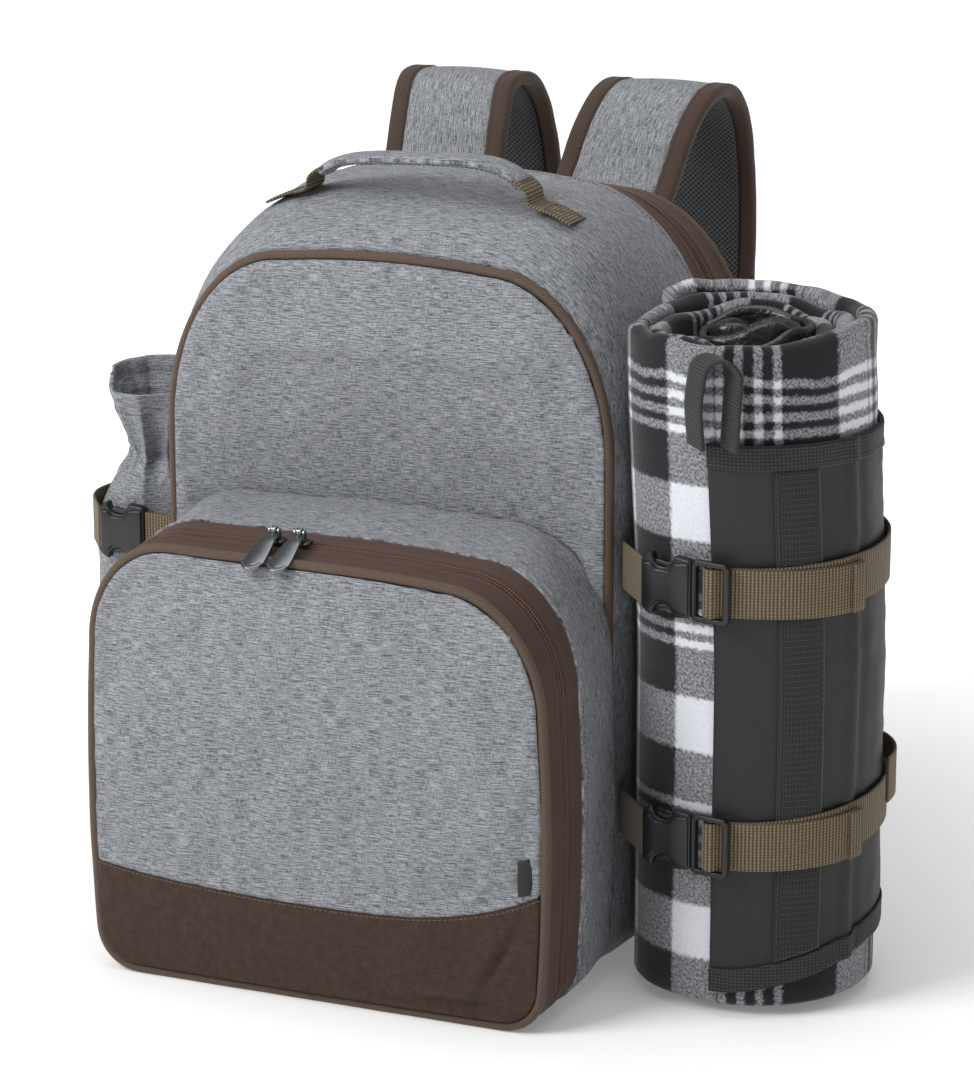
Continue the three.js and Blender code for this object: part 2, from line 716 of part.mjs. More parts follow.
function slider(name, place) {
  const at = sliderFrame(place.x);
  const base = new THREE.BoxGeometry(SLIDER_LONG, SLIDER_WIDE, SLIDER_THICK);
  base.translate(0, 0, SLIDER_THICK / 2);
  const inner = PULL_NECK_WIDE / 2 + EYE_CLEARANCE;
  let shape = base;
  [-1, 1].forEach((side) => {
    const lug = new THREE.BoxGeometry(LUG_THICK, LUG_LONG, LUG_HIGH + LUG_SUNK);
    const middle = SLIDER_THICK + (LUG_HIGH - LUG_SUNK) / 2;
    lug.translate(side * (inner + LUG_THICK / 2), -LUG_FORWARD, middle);
    shape = cut(shape, lug, "add");
  });
  const pin = new THREE.CylinderGeometry(PIN_RADIUS, PIN_RADIUS, 2 * inner + LUG_THICK, PIN_SIDES);
  pin.rotateZ(Math.PI / 2).translate(0, -LUG_FORWARD, PIN_HEIGHT);
  const mesh = piece(name, cut(shape, pin, "add"), "metal");
  mesh.position.copy(at);
  return mesh;
}

function pullTab(name, place) {
  const at = sliderFrame(place.x);
  const eye = PIN_RADIUS + EYE_CLEARANCE;
  const eyeOuter = eye + EYE_WALL;
  const ring = new THREE.Shape();
  ring.absarc(0, 0, eyeOuter, 0, 2 * Math.PI);
  ring.holes.push(new THREE.Path().absarc(0, 0, eye, 0, 2 * Math.PI));
  const around = { depth: PULL_NECK_WIDE, bevelEnabled: false, curveSegments: 6 };
  const hub = new THREE.ExtrudeGeometry(ring, around);
  hub.translate(0, 0, -PULL_NECK_WIDE / 2).rotateY(Math.PI / 2);
  const tab = new THREE.Shape();
  const half = PULL_WIDE / 2;
  const neck = PULL_NECK_WIDE / 2;
  const top = -eye - PULL_BLADE_SUNK;
  tab.moveTo(-neck, top);
  tab.lineTo(-neck, PULL_CHAMFER - PULL_SHOULDER);
  tab.lineTo(-half * PULL_SHOULDER_SHARE, -PULL_SHOULDER);
  tab.lineTo(-half, PULL_CHAMFER + half - PULL_LONG);
  tab.absarc(0, half - PULL_LONG, half, Math.PI, 2 * Math.PI);
  tab.lineTo(half * PULL_SHOULDER_SHARE, -PULL_SHOULDER);
  tab.lineTo(neck, PULL_CHAMFER - PULL_SHOULDER);
  tab.lineTo(neck, top);
  const blade = new THREE.ExtrudeGeometry(tab, { depth: PULL_THICK, bevelEnabled: false, curveSegments: 8 });
  blade.translate(0, 0, -PULL_THICK / 2);
  const mesh = piece(name, cut(hub, blade, "add"), "metal");
  mesh.position.copy(at);
  mesh.position.add(new THREE.Vector3(0, -LUG_FORWARD, PIN_HEIGHT));
  mesh.rotation.x = THREE.MathUtils.degToRad(PULL_DROP_DEG);
  return mesh;
}

function zipPulls() {
  const group = new THREE.Group();
  const places = [
    { name: "left", x: -PULL_LEFT_OUT },
    { name: "right", x: -PULL_RIGHT_OUT },
  ];
  places.forEach((place) => {
    group.add(slider("zip_slider_" + place.name, place));
    group.add(pullTab("zip_pull_" + place.name, place));
  });
  return group;
}

// A small plain tab stitched to the pocket's face beside the piping.
function sideTab() {
  const shape = new THREE.BoxGeometry(SIDE_TAB_WIDE, SIDE_TAB_THICK, SIDE_TAB_HIGH);
  const x = FRONT_WIDTH / 2 - SIDE_TAB_IN;
  const proud = pocketBulge(x - SIDE_TAB_WIDE / 2, SIDE_TAB_AT) + SIDE_TAB_THICK / 2 + SEAM_GAP;
  shape.translate(x, -PIPING_RADIUS / 2 - proud, SIDE_TAB_AT);
  return piece("pocket_side_tab", shape, "nylon");
}

// Back panel, its mesh pad and the shoulder straps

function backSide() {
  const back = new THREE.Group();
  const rim = panel(mainSection, BODY_DEPTH, backSeam + SEAM_GAP, BODY_WALL, BACK_RINGS, () => 0);
  back.add(piece("back_panel", rim, "heather"));
  back.add(piece("back_pad", backPad(), "mesh"));
  [-1, 1].forEach((side) => back.add(...shoulderStrap(side)));
  return back;
}

function backSurface() {
  return backSeam + SEAM_GAP + BODY_WALL;
}

function backPad() {
  const half = BACK_PAD_WIDE / 2;
  const corner = BACK_PAD_CORNER;
  const shape = new THREE.Shape();
  shape.moveTo(-half + corner, BACK_PAD_LOW);
  shape.lineTo(half - corner, BACK_PAD_LOW);
  shape.absarc(half - corner, BACK_PAD_LOW + corner, corner, -Math.PI / 2, 0);
  shape.absarc(half - corner, BACK_PAD_HIGH - corner, corner, 0, Math.PI / 2);
  shape.absarc(-half + corner, BACK_PAD_HIGH - corner, corner, Math.PI / 2, Math.PI);
  shape.absarc(-half + corner, BACK_PAD_LOW + corner, corner, Math.PI, 1.5 * Math.PI);
  const thick = { depth: BACK_PAD_THICK, bevelEnabled: false, curveSegments: 5 };
  const pad = new THREE.ExtrudeGeometry(shape, thick);
  return pad.rotateX(Math.PI / 2).translate(0, backSurface() + SEAM_GAP + BACK_PAD_THICK, 0);
}

function strapLine(side) {
  const rise = STRAP_TOP - STRAP_ROOT_HEIGHT;
  const points = STRAP_LINE.map(
    (row) =>
      new THREE.Vector3(
        side * mix(STRAP_ROOT_OUT, STRAP_TOP_OUT, row.out),
        backSurface() + STRAP_REACH * row.back,
        STRAP_ROOT_HEIGHT + rise * row.high,
      ),
  );
  return new THREE.CatmullRomCurve3(points);
}

function shoulderStrap(side) {
  const name = side < 0 ? "left" : "right";
  const line = strapLine(side).getSpacedPoints(STRAP_STEPS);
  const padWide = STRAP_WIDE - 2 * STRAP_BINDING - 2 * SEAM_GAP;
  const edge = (STRAP_WIDE - STRAP_BINDING) / 2;
  const meshDrop = STRAP_FOAM / 2 + STRAP_MESH / 2 + SEAM_GAP;
  const shifted = (by) => line.map((point) => point.clone().addScaledVector(RIGHT, by));
  const under = line.map((point, i) => {
    const ahead = line[Math.min(i + 1, line.length - 1)];
    const behind = line[Math.max(i - 1, 0)];
    const out = ahead.clone().sub(behind).cross(RIGHT).normalize();
    return point.clone().addScaledVector(out, meshDrop);
  });
  const binding = (by) => ribbon(shifted(by), RIGHT, STRAP_BINDING, STRAP_BINDING_THICK);
  return [
    piece("strap_pad_" + name, ribbon(line, RIGHT, padWide, STRAP_FOAM), "heather"),
    piece("strap_mesh_" + name, ribbon(under, RIGHT, padWide, STRAP_MESH), "mesh"),
    piece("strap_binding_inner_" + name, binding(-side * edge), "binding"),
    piece("strap_binding_outer_" + name, binding(side * edge), "binding"),
    ...strapAdjuster(side, name, line[line.length - 1], line[line.length - 2]),
  ];
}

// Below its pad a shoulder strap carries a ladder buckle and the webbing to the body's lower corner.
function strapAdjuster(side, name, end, before) {
  const along = end.clone().sub(before).setX(0).normalize();
  const frame = piece("strap_buckle_" + name, ladderFrame(STRAP_BUCKLE_WIDE), "plastic");
  const matrix = new THREE.Matrix4().makeBasis(along, RIGHT, along.clone().cross(RIGHT));
  frame.quaternion.setFromRotationMatrix(matrix);
  frame.position.copy(end).addScaledVector(along, BUCKLE_FRAME_LONG / 2 + SEAM_GAP);
  const start = end.clone().addScaledVector(along, BUCKLE_FRAME_LONG + 2 * SEAM_GAP);
  const flat = backSurface() + WEBBING_THICK / 2 + SEAM_GAP;
  const anchor = new THREE.Vector3(side * ANCHOR_OUT, flat, ANCHOR_HEIGHT);
  const low = anchor.clone().setZ(ANCHOR_HEIGHT + ANCHOR_SEWN);
  const bend = anchor.clone().setZ(ANCHOR_HEIGHT + 2 * ANCHOR_SEWN);
  const hang = new THREE.QuadraticBezierCurve3(start, bend, low).getPoints(6);
  const webbing = ribbon([...hang, anchor], RIGHT, STRAP_WEBBING_WIDE, WEBBING_THICK);
  return [frame, piece("strap_webbing_" + name, webbing, "webbing")];
}

// Carry handle on the crest: a padded grip and two webbing tabs

function topHeight(x, y) {
  const section = mainSection(y);
  const flat = section.half - section.wide;
  if (Math.abs(x) <= flat) return section.top - CROWN * (x / flat) ** 2;
  const across = Math.min((Math.abs(x) - flat) / section.wide, 1);
  return section.top - CROWN - section.high * (1 - Math.sqrt(1 - across * across));
}

function carryHandle() {
  const group = new THREE.Group();
  const y = POCKET_DEPTH + HANDLE_BACK;
  const crown = topHeight(0, y);
  const half = HANDLE_SPAN / 2;
  const gripHalf = half - HANDLE_GRIP_SHORT;
  const round = half - HANDLE_GRIP_SHORT / 2;
  const arch = (x) => crown + HANDLE_LIFT + HANDLE_RISE * Math.sqrt(1 - (x / round) ** 4);
  const grip = steps(-gripHalf, gripHalf, 10).map((x) => new THREE.Vector3(x, y, arch(x)));
  const gripWide = HANDLE_WIDE - HANDLE_GRIP_NARROW;
  group.add(piece("handle_grip", ribbon(grip, BACK, gripWide, HANDLE_THICK), "heather"));
  [-1, 1].forEach((side) => {
    const seat = (x) => new THREE.Vector3(side * x, y, highestNear(x, y) + WEBBING_THICK / 2 + SEAM_GAP);
    const foot = half + HANDLE_FOLD;
    const path = [
      new THREE.Vector3(side * (gripHalf + 1), y, arch(gripHalf)),
      new THREE.Vector3(side * (half - 2), y, mix(arch(gripHalf), crown, 0.4)),
      new THREE.Vector3(side * half, y, topHeight(half, y) + HANDLE_FOLD),
      seat(foot),
      seat(foot + HANDLE_TAB / 2),
      seat(foot + HANDLE_TAB),
    ];
    const shape = ribbon(path, BACK, HANDLE_WIDE, WEBBING_THICK);
    group.add(piece("handle_tab_" + (side < 0 ? "left" : "right"), shape, "webbing"));
  });
  return group;
}

// The crest rises to the back, so a tab lies on its highest line below the tab's width.
function highestNear(x, y) {
  return Math.max(topHeight(x, y - HANDLE_WIDE / 2), topHeight(x, y), topHeight(x, y + HANDLE_WIDE / 2));
}

// Bottle pocket on the left side: flat against the body, gathered below its collar, open above

function pouchRows() {
  const low = POUCH_FORM.map((row) => ({ ...row, z: POUCH_WAIST_HEIGHT * row.height, tilt: 0 }));
  const rise = POUCH_HEIGHT - POUCH_WAIST_HEIGHT;
  const high = NECK_FORM.map((row) => ({
    ...row,
    z: POUCH_WAIST_HEIGHT + rise * row.height,
    tilt: row.height,
  }));
  return [...low, ...high];
}

function pouchCentre() {
  return new THREE.Vector2(-(mainSection(pouchBack).half + POUCH_RADIUS * POUCH_OUT), pouchBack);
}

function pouchPoint(row, turn, by) {
  const centre = pouchCentre();
  const fold = row.pleat * POUCH_RADIUS * Math.cos(POUCH_FOLDS * turn);
  const reach = POUCH_RADIUS * row.radius + fold - by;
  const y = centre.y + reach * Math.sin(turn);
  const flat = -(mainSection(y).half + 2 * SEAM_GAP + by);
  const z = row.z + row.tilt * POUCH_RIM_TILT * Math.sin(turn);
  return new THREE.Vector3(Math.min(centre.x + reach * Math.cos(turn), flat), y, z);
}

function bottlePocket() {
  const group = new THREE.Group();
  const rows = pouchRows();
  const turns = steps(0, 2 * Math.PI, POUCH_STEPS).slice(0, -1);
  const down = [...rows].reverse();
  const outer = turns.map((turn) => down.map((row) => pouchPoint(row, turn, 0)));
  const inner = turns.map((turn) =>
    down.map((row, i) => {
      const point = pouchPoint(row, turn, POUCH_WALL);
      if (i === rows.length - 1) point.z += POUCH_WALL;
      return point;
    }),
  );
  const middle = (z) => new THREE.Vector3(pouchCentre().x, pouchBack, z);
  const poles = [middle(rows[0].z), middle(rows[0].z + POUCH_WALL)];
  group.add(piece("bottle_pouch", wall(outer, inner, { loop: true, poles }), "heather"));
  group.add(...pouchStrap());
  return group;
}

function pouchStrap() {
  const seat = buckleSeat(pouchCentre(), POUCH_BUCKLE_DEG, POUCH_STRAP_HEIGHT);
  const radius = POUCH_RADIUS + WEBBING_THICK / 2 + 2 * SEAM_GAP;
  const low = POUCH_RADIUS + SEAM_GAP;
  const half = BUCKLE_BODY_LONG / 2;
  const anchor = (y) => new THREE.Vector3(-besideBody(y), y, POUCH_STRAP_HEIGHT);
  const front = [
    seat(half + BUCKLE_FRONT_GAP, low + BUCKLE_THICK / 2),
    anchor(pouchBack - POUCH_STRAP_REACH),
  ];
  const from = seat(-half - BUCKLE_REAR_GAP, low + BUCKLE_THICK / 2);
  const to = anchor(pouchBack + POUCH_STRAP_REACH);
  const meets = tangentDegrees(pouchCentre(), radius, from, -1);
  const leaves = tangentDegrees(pouchCentre(), radius, to, 1) - 360;
  const round = arcPath(pouchCentre(), radius, meets, leaves, 8, POUCH_STRAP_HEIGHT);
  const rear = [from, ...round, to];
  const body = buckleBody().translate(-BUCKLE_BODY_LONG / 2, 0, 0);
  return [
    piece("pouch_strap_front", ribbon(front, UP, WEBBING_WIDE, WEBBING_THICK), "webbing"),
    piece("pouch_strap_rear", ribbon(rear, UP, WEBBING_WIDE, WEBBING_THICK), "webbing"),
    seated(piece("pouch_buckle", body, "plastic"), seat, 0, low),
  ];
}

// The angle at which taut webbing from a point touches a circle; side picks one of the two tangents.
function tangentDegrees(centre, radius, point, side) {
  const away = new THREE.Vector2(point.x, point.y).sub(centre);
  const angle = Math.atan2(away.y, away.x) + side * Math.acos(radius / away.length());
  return THREE.MathUtils.radToDeg(angle);
}

// Where webbing meets the body's side, just clear of it.
function besideBody(y) {
  return mainSection(y).half + 2 * SEAM_GAP + WEBBING_THICK / 2;
}

function arcPath(centre, radius, fromDeg, toDeg, count, z) {
  return steps(fromDeg, toDeg, count).map((degrees) => {
    const turn = THREE.MathUtils.degToRad(degrees);
    return new THREE.Vector3(centre.x + radius * Math.cos(turn), centre.y + radius * Math.sin(turn), z);
  });
}

// Side-release buckle: a notched body and a ladder frame, set flat against a round at an angle

function buckleBody() {
  const half = BUCKLE_WIDE / 2;
  const long = BUCKLE_BODY_LONG;
  const shape = new THREE.Shape();
  shape.moveTo(0, -half * BUCKLE_END_WIDE);
  shape.lineTo(long * BUCKLE_CHAMFER, -half);
  shape.absarc(long * BUCKLE_NOTCH_AT, -half, BUCKLE_NOTCH, Math.PI, 0, true);
  shape.lineTo(long, -half * BUCKLE_MOUTH_WIDE);
  shape.lineTo(long, half * BUCKLE_MOUTH_WIDE);
  shape.absarc(long * BUCKLE_NOTCH_AT, half, BUCKLE_NOTCH, 0, Math.PI, true);
  shape.lineTo(long * BUCKLE_CHAMFER, half);
  shape.lineTo(0, half * BUCKLE_END_WIDE);
  shape.closePath();
  return new THREE.ExtrudeGeometry(shape, { depth: BUCKLE_THICK, bevelEnabled: false, curveSegments: 7 });
}

// A flat frame with two slots and a bar between them.
function ladderFrame(wide) {
  const long = BUCKLE_FRAME_LONG;
  const slot = (long - 3 * BUCKLE_BAR) / 2;
  let frame = new THREE.BoxGeometry(long, wide, BUCKLE_FRAME_THICK);
  [-1, 1].forEach((side) => {
    const hole = new THREE.BoxGeometry(slot, wide - 2 * BUCKLE_BAR, BUCKLE_FRAME_THICK * 2);
    frame = cut(frame, hole.translate((side * (slot + BUCKLE_BAR)) / 2, 0, 0), "subtract");
  });
  return frame;
}

// A place beside a round body: shift runs along its surface at one angle, and lift out from its axis.
function buckleSeat(centre, degrees, z) {
  const turn = THREE.MathUtils.degToRad(degrees);
  const out = new THREE.Vector3(Math.cos(turn), Math.sin(turn), 0);
  const along = new THREE.Vector3(-Math.sin(turn), Math.cos(turn), 0);
  const seat = (shift, lift) =>
    new THREE.Vector3(centre.x, centre.y, z).addScaledVector(out, lift).addScaledVector(along, shift);
  seat.basis = new THREE.Matrix4().makeBasis(along, UP, along.clone().cross(UP));
  return seat;
}

function seated(mesh, seat, shift, lift) {
  mesh.quaternion.setFromRotationMatrix(seat.basis);
  mesh.position.copy(seat(shift, lift));
  return mesh;
}

// Blanket roll: plaid fleece outside, its dark backing folded into the core

function layerPoint(outerRadius, pitch, way, inward, z) {
  const turns = Math.floor(way);
  const late = ease((way - turns - ROLL_FOLD_HOLD) / (1 - ROLL_FOLD_HOLD));
  const radius = outerRadius - pitch * (turns + late) - inward;
  const turn = THREE.MathUtils.degToRad(CARRIER_TO_DEG - 360 * way);
  const at = new THREE.Vector2(Math.cos(turn), Math.sin(turn)).multiplyScalar(radius).add(rollCentre);
  return new THREE.Vector3(at.x, at.y, z);
}

function rollTop(way) {
  const turn = THREE.MathUtils.degToRad(CARRIER_TO_DEG - 360 * way);
  return ROLL_HEIGHT + ROLL_TILT * Math.sin(turn) + ROLL_WAVE * Math.cos(3 * turn) - ROLL_SINK * way;
}

function rolledSheet(outerRadius, pitch, turns, perTurn, top) {
  const ways = steps(0, turns, Math.round(turns * perTurn));
  const thick = pitch - LAYER_GAP;
  const chamfer = thick * LAYER_CHAMFER;
  const grid = (inward) =>
    ways.map((way) => [
      layerPoint(outerRadius, pitch, way, inward, ROLL_LOW),
      layerPoint(outerRadius, pitch, way, inward, top(way) - chamfer),
      layerPoint(outerRadius, pitch, way, mix(inward, thick / 2, 2 * LAYER_CHAMFER), top(way)),
    ]);
  return wall(grid(0), grid(thick));
}

function blanketRoll() {
  const group = new THREE.Group();
  const coreRadius = ROLL_RADIUS - Math.ceil(FLEECE_TURNS) * FLEECE_PITCH + LAYER_GAP - SEAM_GAP;
  const coreTop = (way) => rollTop(FLEECE_TURNS) - CORE_DROP + CORE_WAVE * Math.sin(5 * way);
  const fleece = rolledSheet(ROLL_RADIUS, FLEECE_PITCH, FLEECE_TURNS, ROLL_STEPS, rollTop);
  const core = rolledSheet(coreRadius, BACKING_PITCH, BACKING_TURNS, CORE_STEPS, coreTop);
  group.add(piece("blanket_fleece", fleece, "fleece"));
  group.add(piece("blanket_backing", core, "backing"));
  group.add(...carrier());
  return group;
}

function carrierLow(degrees) {
  return CARRIER_LOW + CARRIER_LOW_RISE * ease((degrees - CARRIER_FROM_DEG) / CARRIER_RISE_OVER_DEG);
}

// A curved strip of carrier cloth on the roll over a span of angles, from low(degrees) to high(degrees).
function aroundRoll(radius, span, low, high) {
  const degrees = steps(span.from, span.to, span.count);
  const grid = (reach) =>
    degrees.map((degree) => {
      const [bottom] = arcPath(rollCentre, reach, degree, degree, 1, low(degree));
      const [top] = arcPath(rollCentre, reach, degree, degree, 1, high(degree));
      return [bottom, top];
    });
  return wall(grid(radius + CARRIER_THICK), grid(radius));
}

function carrier() {
  const skin = ROLL_RADIUS + SEAM_GAP;
  const onSkin = skin + CARRIER_THICK + SEAM_GAP;
  const high = () => CARRIER_HIGH;
  const hemLow = (degrees) => carrierLow(degrees) + HEM_WIDE;
  const hemHigh = () => CARRIER_HIGH - HEM_WIDE;
  const whole = { from: CARRIER_FROM_DEG, to: CARRIER_TO_DEG, count: CARRIER_STEPS };
  const panelShape = aroundRoll(skin, whole, carrierLow, high);
  const lowHem = aroundRoll(onSkin, whole, carrierLow, hemLow);
  const highHem = aroundRoll(onSkin, whole, hemHigh, high);
  const narrow = { from: LADDER_FROM_DEG, to: LADDER_TO_DEG, count: LADDER_STEPS };
  const ladderLow = (degrees) => hemLow(degrees) + 4 * SEAM_GAP;
  const ladder = aroundRoll(onSkin, narrow, ladderLow, () => hemHigh() - SEAM_GAP);
  return [
    piece("carrier_panel", panelShape, "nylon"),
    piece("carrier_hem_lower", lowHem, "nylon"),
    piece("carrier_hem_upper", highHem, "nylon"),
    piece("carrier_ladder_strip", ladder, "nylon"),
    carryLoop(),
    ...rollStrap("upper", UPPER_STRAP_HEIGHT, 0),
    ...rollStrap("lower", LOWER_STRAP_HEIGHT, LOWER_STRAP_CLIMB),
    slackLoop(),
  ];
}

function carryLoop() {
  const turn = THREE.MathUtils.degToRad(CARRY_LOOP_DEG);
  const out = new THREE.Vector3(Math.cos(turn), Math.sin(turn), 0);
  const along = new THREE.Vector3(-Math.sin(turn), Math.cos(turn), 0);
  const foot = CARRIER_HIGH + SEAM_GAP;
  const half = CARRY_LOOP_SPAN / 2;
  const middle = new THREE.Vector3(rollCentre.x, rollCentre.y, 0)
    .addScaledVector(out, ROLL_RADIUS + 2 * SEAM_GAP + CARRY_LOOP_WIDE / 2);
  const leg = (row) => [half * row.across, foot + CARRY_LOOP_HIGH * row.high];
  const bow = (bend) => [half * Math.cos(bend), foot + CARRY_LOOP_HIGH - half * (1 - Math.sin(bend))];
  const path = [...CARRY_LOOP_UP.map(leg), ...steps(Math.PI, 0, 6).map(bow), ...CARRY_LOOP_DOWN.map(leg)];
  const points = path.map(([shift, z]) => middle.clone().addScaledVector(along, shift).setZ(z));
  return piece("carrier_carry_loop", ribbon(points, out, CARRY_LOOP_WIDE, WEBBING_THICK), "nylon");
}

// A compression strap: short webbing from the body's side to the buckle, and one long webbing that runs
// from the back of the body round the roll, over the buckle's middle bar and back as a free tail.
function rollStrap(name, height, climb) {
  const radius = wrapRadius + WEBBING_THICK / 2;
  const tailRadius = radius + WEBBING_THICK + SEAM_GAP;
  const low = ROLL_RADIUS + BUCKLE_LIFT;
  const seat = buckleSeat(rollCentre, ROLL_BUCKLE_DEG, height);
  const whole = BUCKLE_BODY_LONG + SEAM_GAP + BUCKLE_FRAME_LONG;
  const frameAt = (whole - BUCKLE_FRAME_LONG) / 2;
  const level = low + BUCKLE_THICK / 2;
  const slot = (BUCKLE_FRAME_LONG - 3 * BUCKLE_BAR) / 2;
  const reachOf = (r, shift) => ROLL_BUCKLE_DEG + THREE.MathUtils.radToDeg(Math.asin(shift / r));
  const tailFrom = reachOf(tailRadius, frameAt + BUCKLE_BAR / 2 + slot);
  const wrapFrom = reachOf(radius, frameAt + BUCKLE_BAR / 2);
  const loop = LOOP_FORM.map((row) => {
    const shift = row.side * (BUCKLE_BAR / 2 + row.slot * slot);
    return seat(frameAt + shift, level + row.lift * BUCKLE_FRAME_THICK);
  });
  const rise = (point) => {
    const turn = THREE.MathUtils.radToDeg(Math.atan2(point.y - rollCentre.y, point.x - rollCentre.x));
    const way = turn < CARRIER_TO_DEG - 360 ? 0 : (turn - wrapFrom) / STRAP_CLIMB_OVER_DEG;
    return point.clone().setZ(height + climb * ease(way));
  };
  const rearSeat = POCKET_DEPTH + STRAP_REAR_SEAT;
  const tail = arcPath(rollCentre, tailRadius, TAIL_TO_DEG, tailFrom, STRAP_TAIL_STEPS, height);
  const rear = new THREE.Vector3(besideBody(rearSeat), rearSeat, height);
  const leaves = tangentDegrees(rollCentre, radius, rear, -1);
  const wrap = arcPath(rollCentre, radius, wrapFrom, leaves, STRAP_WRAP_STEPS, height);
  const frontSeat = POCKET_DEPTH + STRAP_FRONT_SEAT;
  const short = [
    new THREE.Vector3(besideBody(frontSeat), frontSeat, height - STRAP_SEAT_DROP),
    seat(-whole / 2 - 2 * SEAM_GAP, level),
  ];
  const long = [...tail, ...loop, ...wrap, rear].map(rise);
  return [
    piece(name + "_strap_short", ribbon(short, UP, WEBBING_WIDE, WEBBING_THICK), "webbing"),
    piece(name + "_strap_long", ribbon(long, UP, WEBBING_WIDE, WEBBING_THICK), "webbing"),
    seated(piece(name + "_buckle_body", buckleBody(), "plastic"), seat, -whole / 2, low),
    seated(piece(name + "_buckle_frame", ladderFrame(BUCKLE_WIDE), "plastic"), seat, frameAt, level),
  ];
}

// Slack webbing that stands off the lower strap at the back of the roll.
function slackLoop() {
  const near = wrapRadius + WEBBING_THICK + SEAM_GAP + WEBBING_THICK / 2;
  const path = steps(0, 1, 6).map((share) => {
    const reach = near + SLACK_STAND * Math.sin(Math.PI * share);
    const [point] = arcPath(rollCentre, reach, mix(SLACK_FROM_DEG, SLACK_TO_DEG, share), 0, 1, 0);
    return point.setZ(LOWER_STRAP_HEIGHT + SLACK_ABOVE);
  });
  return piece("lower_strap_loop", ribbon(path, UP, WEBBING_WIDE, WEBBING_THICK), "webbing");
}

const backpack = new THREE.Group();
backpack.add(mainBody(), frontPocket(), zipPulls(), sideTab(), backSide());
backpack.add(carryHandle(), bottlePocket(), blanketRoll());
backpack.position.y = -BODY_DEPTH / 2;

export default backpack;
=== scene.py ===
"""Looks of a grey cooler backpack with a zipped front pocket, a gathered bottle pocket and a blanket roll.

Every piece is built in millimetres in the pattern's own frame: x to the right, y back from the front
piping, z up from the floor. TO_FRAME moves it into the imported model's frame, in metres.
"""

import logging
import math
from dataclasses import dataclass, field, replace
from enum import Enum
from typing import Callable, Iterable, Optional, Sequence, Union

import bmesh
import bpy
import numpy as np
from mathutils import Matrix, Vector, noise


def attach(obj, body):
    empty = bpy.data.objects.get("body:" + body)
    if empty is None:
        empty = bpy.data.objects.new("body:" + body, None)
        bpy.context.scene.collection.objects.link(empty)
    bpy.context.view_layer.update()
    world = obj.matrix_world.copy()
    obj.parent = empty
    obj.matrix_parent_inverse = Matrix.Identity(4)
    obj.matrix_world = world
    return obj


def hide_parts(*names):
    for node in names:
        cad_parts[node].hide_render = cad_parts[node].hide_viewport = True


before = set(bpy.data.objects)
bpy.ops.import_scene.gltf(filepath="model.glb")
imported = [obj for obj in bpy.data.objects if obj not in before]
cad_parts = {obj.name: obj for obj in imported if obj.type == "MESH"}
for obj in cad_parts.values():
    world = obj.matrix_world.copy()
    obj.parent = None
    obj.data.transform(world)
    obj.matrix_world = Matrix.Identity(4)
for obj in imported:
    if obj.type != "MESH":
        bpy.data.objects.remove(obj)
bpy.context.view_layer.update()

logging.basicConfig(level=logging.INFO, format="%(message)s")
LOG = logging.getLogger("backpack")

MM = 0.001
PACK = "pack"
SEED = 7
Points = np.ndarray


# ---------------------------------------------------------------- sizes

BODY_DEPTH = 303.0
POCKET_DEPTH = 112.0
FRONT_WIDTH = 300.0
BACK_WIDTH = 343.0
FRONT_HEIGHT = 449.0
CREST_HEIGHT = 482.0
BACK_HEIGHT = 468.0
POCKET_HEIGHT = 281.0
POCKET_REAR_HEIGHT = 293.0
CORNER = (80.0, 115.0)
POCKET_CORNER = (66.0, 80.0)
FOOT_RADIUS = 27.0
CROWN = 4.0
PIPING_RADIUS = 3.2
PIPING_PROUD = 1.5
SEAM_GAP = 0.3
BACK_SEAM = BODY_DEPTH - PIPING_RADIUS - SEAM_GAP
WEBBING_WIDE = 30.0
ROLL_RADIUS = 77.0
ROLL_CENTRE = (233.0, 148.0)
ROLL_LOW = 6.0
ROLL_HEIGHT = 426.0

# depth, spread, rise, fall, corner width and corner height of the main body
MAIN_FORM = (
    (0.0, 0.0, 0.0, 0.0, 1.0, 1.0),
    (0.1, 0.24, 0.42, 0.0, 1.05, 1.04),
    (0.3, 0.45, 0.85, 0.0, 1.14, 1.1),
    (0.54, 0.6, 1.0, 0.0, 1.22, 1.13),
    (0.78, 0.73, 1.0, 0.0, 1.24, 1.13),
    (1.0, 1.0, 1.0, 1.0, 1.08, 0.97),
)
# depth, spread and rise of the front pocket
POCKET_FORM = (
    (0.0, 0.0, 0.0),
    (0.24, 0.7, 0.3),
    (0.45, 1.0, 0.42),
    (0.75, 0.6, 0.72),
    (1.0, 0.3, 1.0),
)
# share of half the outline at which each stretch ends, with the steps drawn along it
STRETCHES = (
    ("sole", 0.2, 14), ("foot", 0.3, 12), ("side", 0.58, 34), ("shoulder", 0.86, 34), ("top", 1.0, 18),
)
TO_FRAME = Matrix.Scale(MM, 4) @ Matrix.Translation((0, -BODY_DEPTH / 2, 0))
BODY_MIDDLE = (0.0, 150.0, 220.0)
POCKET_MIDDLE = (0.0, 60.0, 140.0)


# ---------------------------------------------------------------- small sums

def mix(a: float, b: float, share: float) -> float:
    """The value a share of the way from a to b."""
    return a + (b - a) * share


def ease(share: Union[float, Points]) -> Union[float, Points]:
    """A smooth step from 0 to 1."""
    held = np.clip(share, 0.0, 1.0)
    return held * held * (3.0 - 2.0 * held)


def bump(value: Union[float, Points], middle: float, reach: float) -> Union[float, Points]:
    """A smooth hump of height 1 about a middle, gone at the reach."""
    return ease(1.0 - np.abs((value - middle) / reach))


def along_table(table: Sequence[Sequence[float]], value: float) -> list[float]:
    """The table's other columns at a value of its first column.

    Args:
        table: rows that rise in their first column.
        value: where to read.
    Returns:
        One number for each further column.
    """
    keys = [row[0] for row in table]
    return [float(np.interp(value, keys, [row[k] for row in table])) for k in range(1, len(table[0]))]


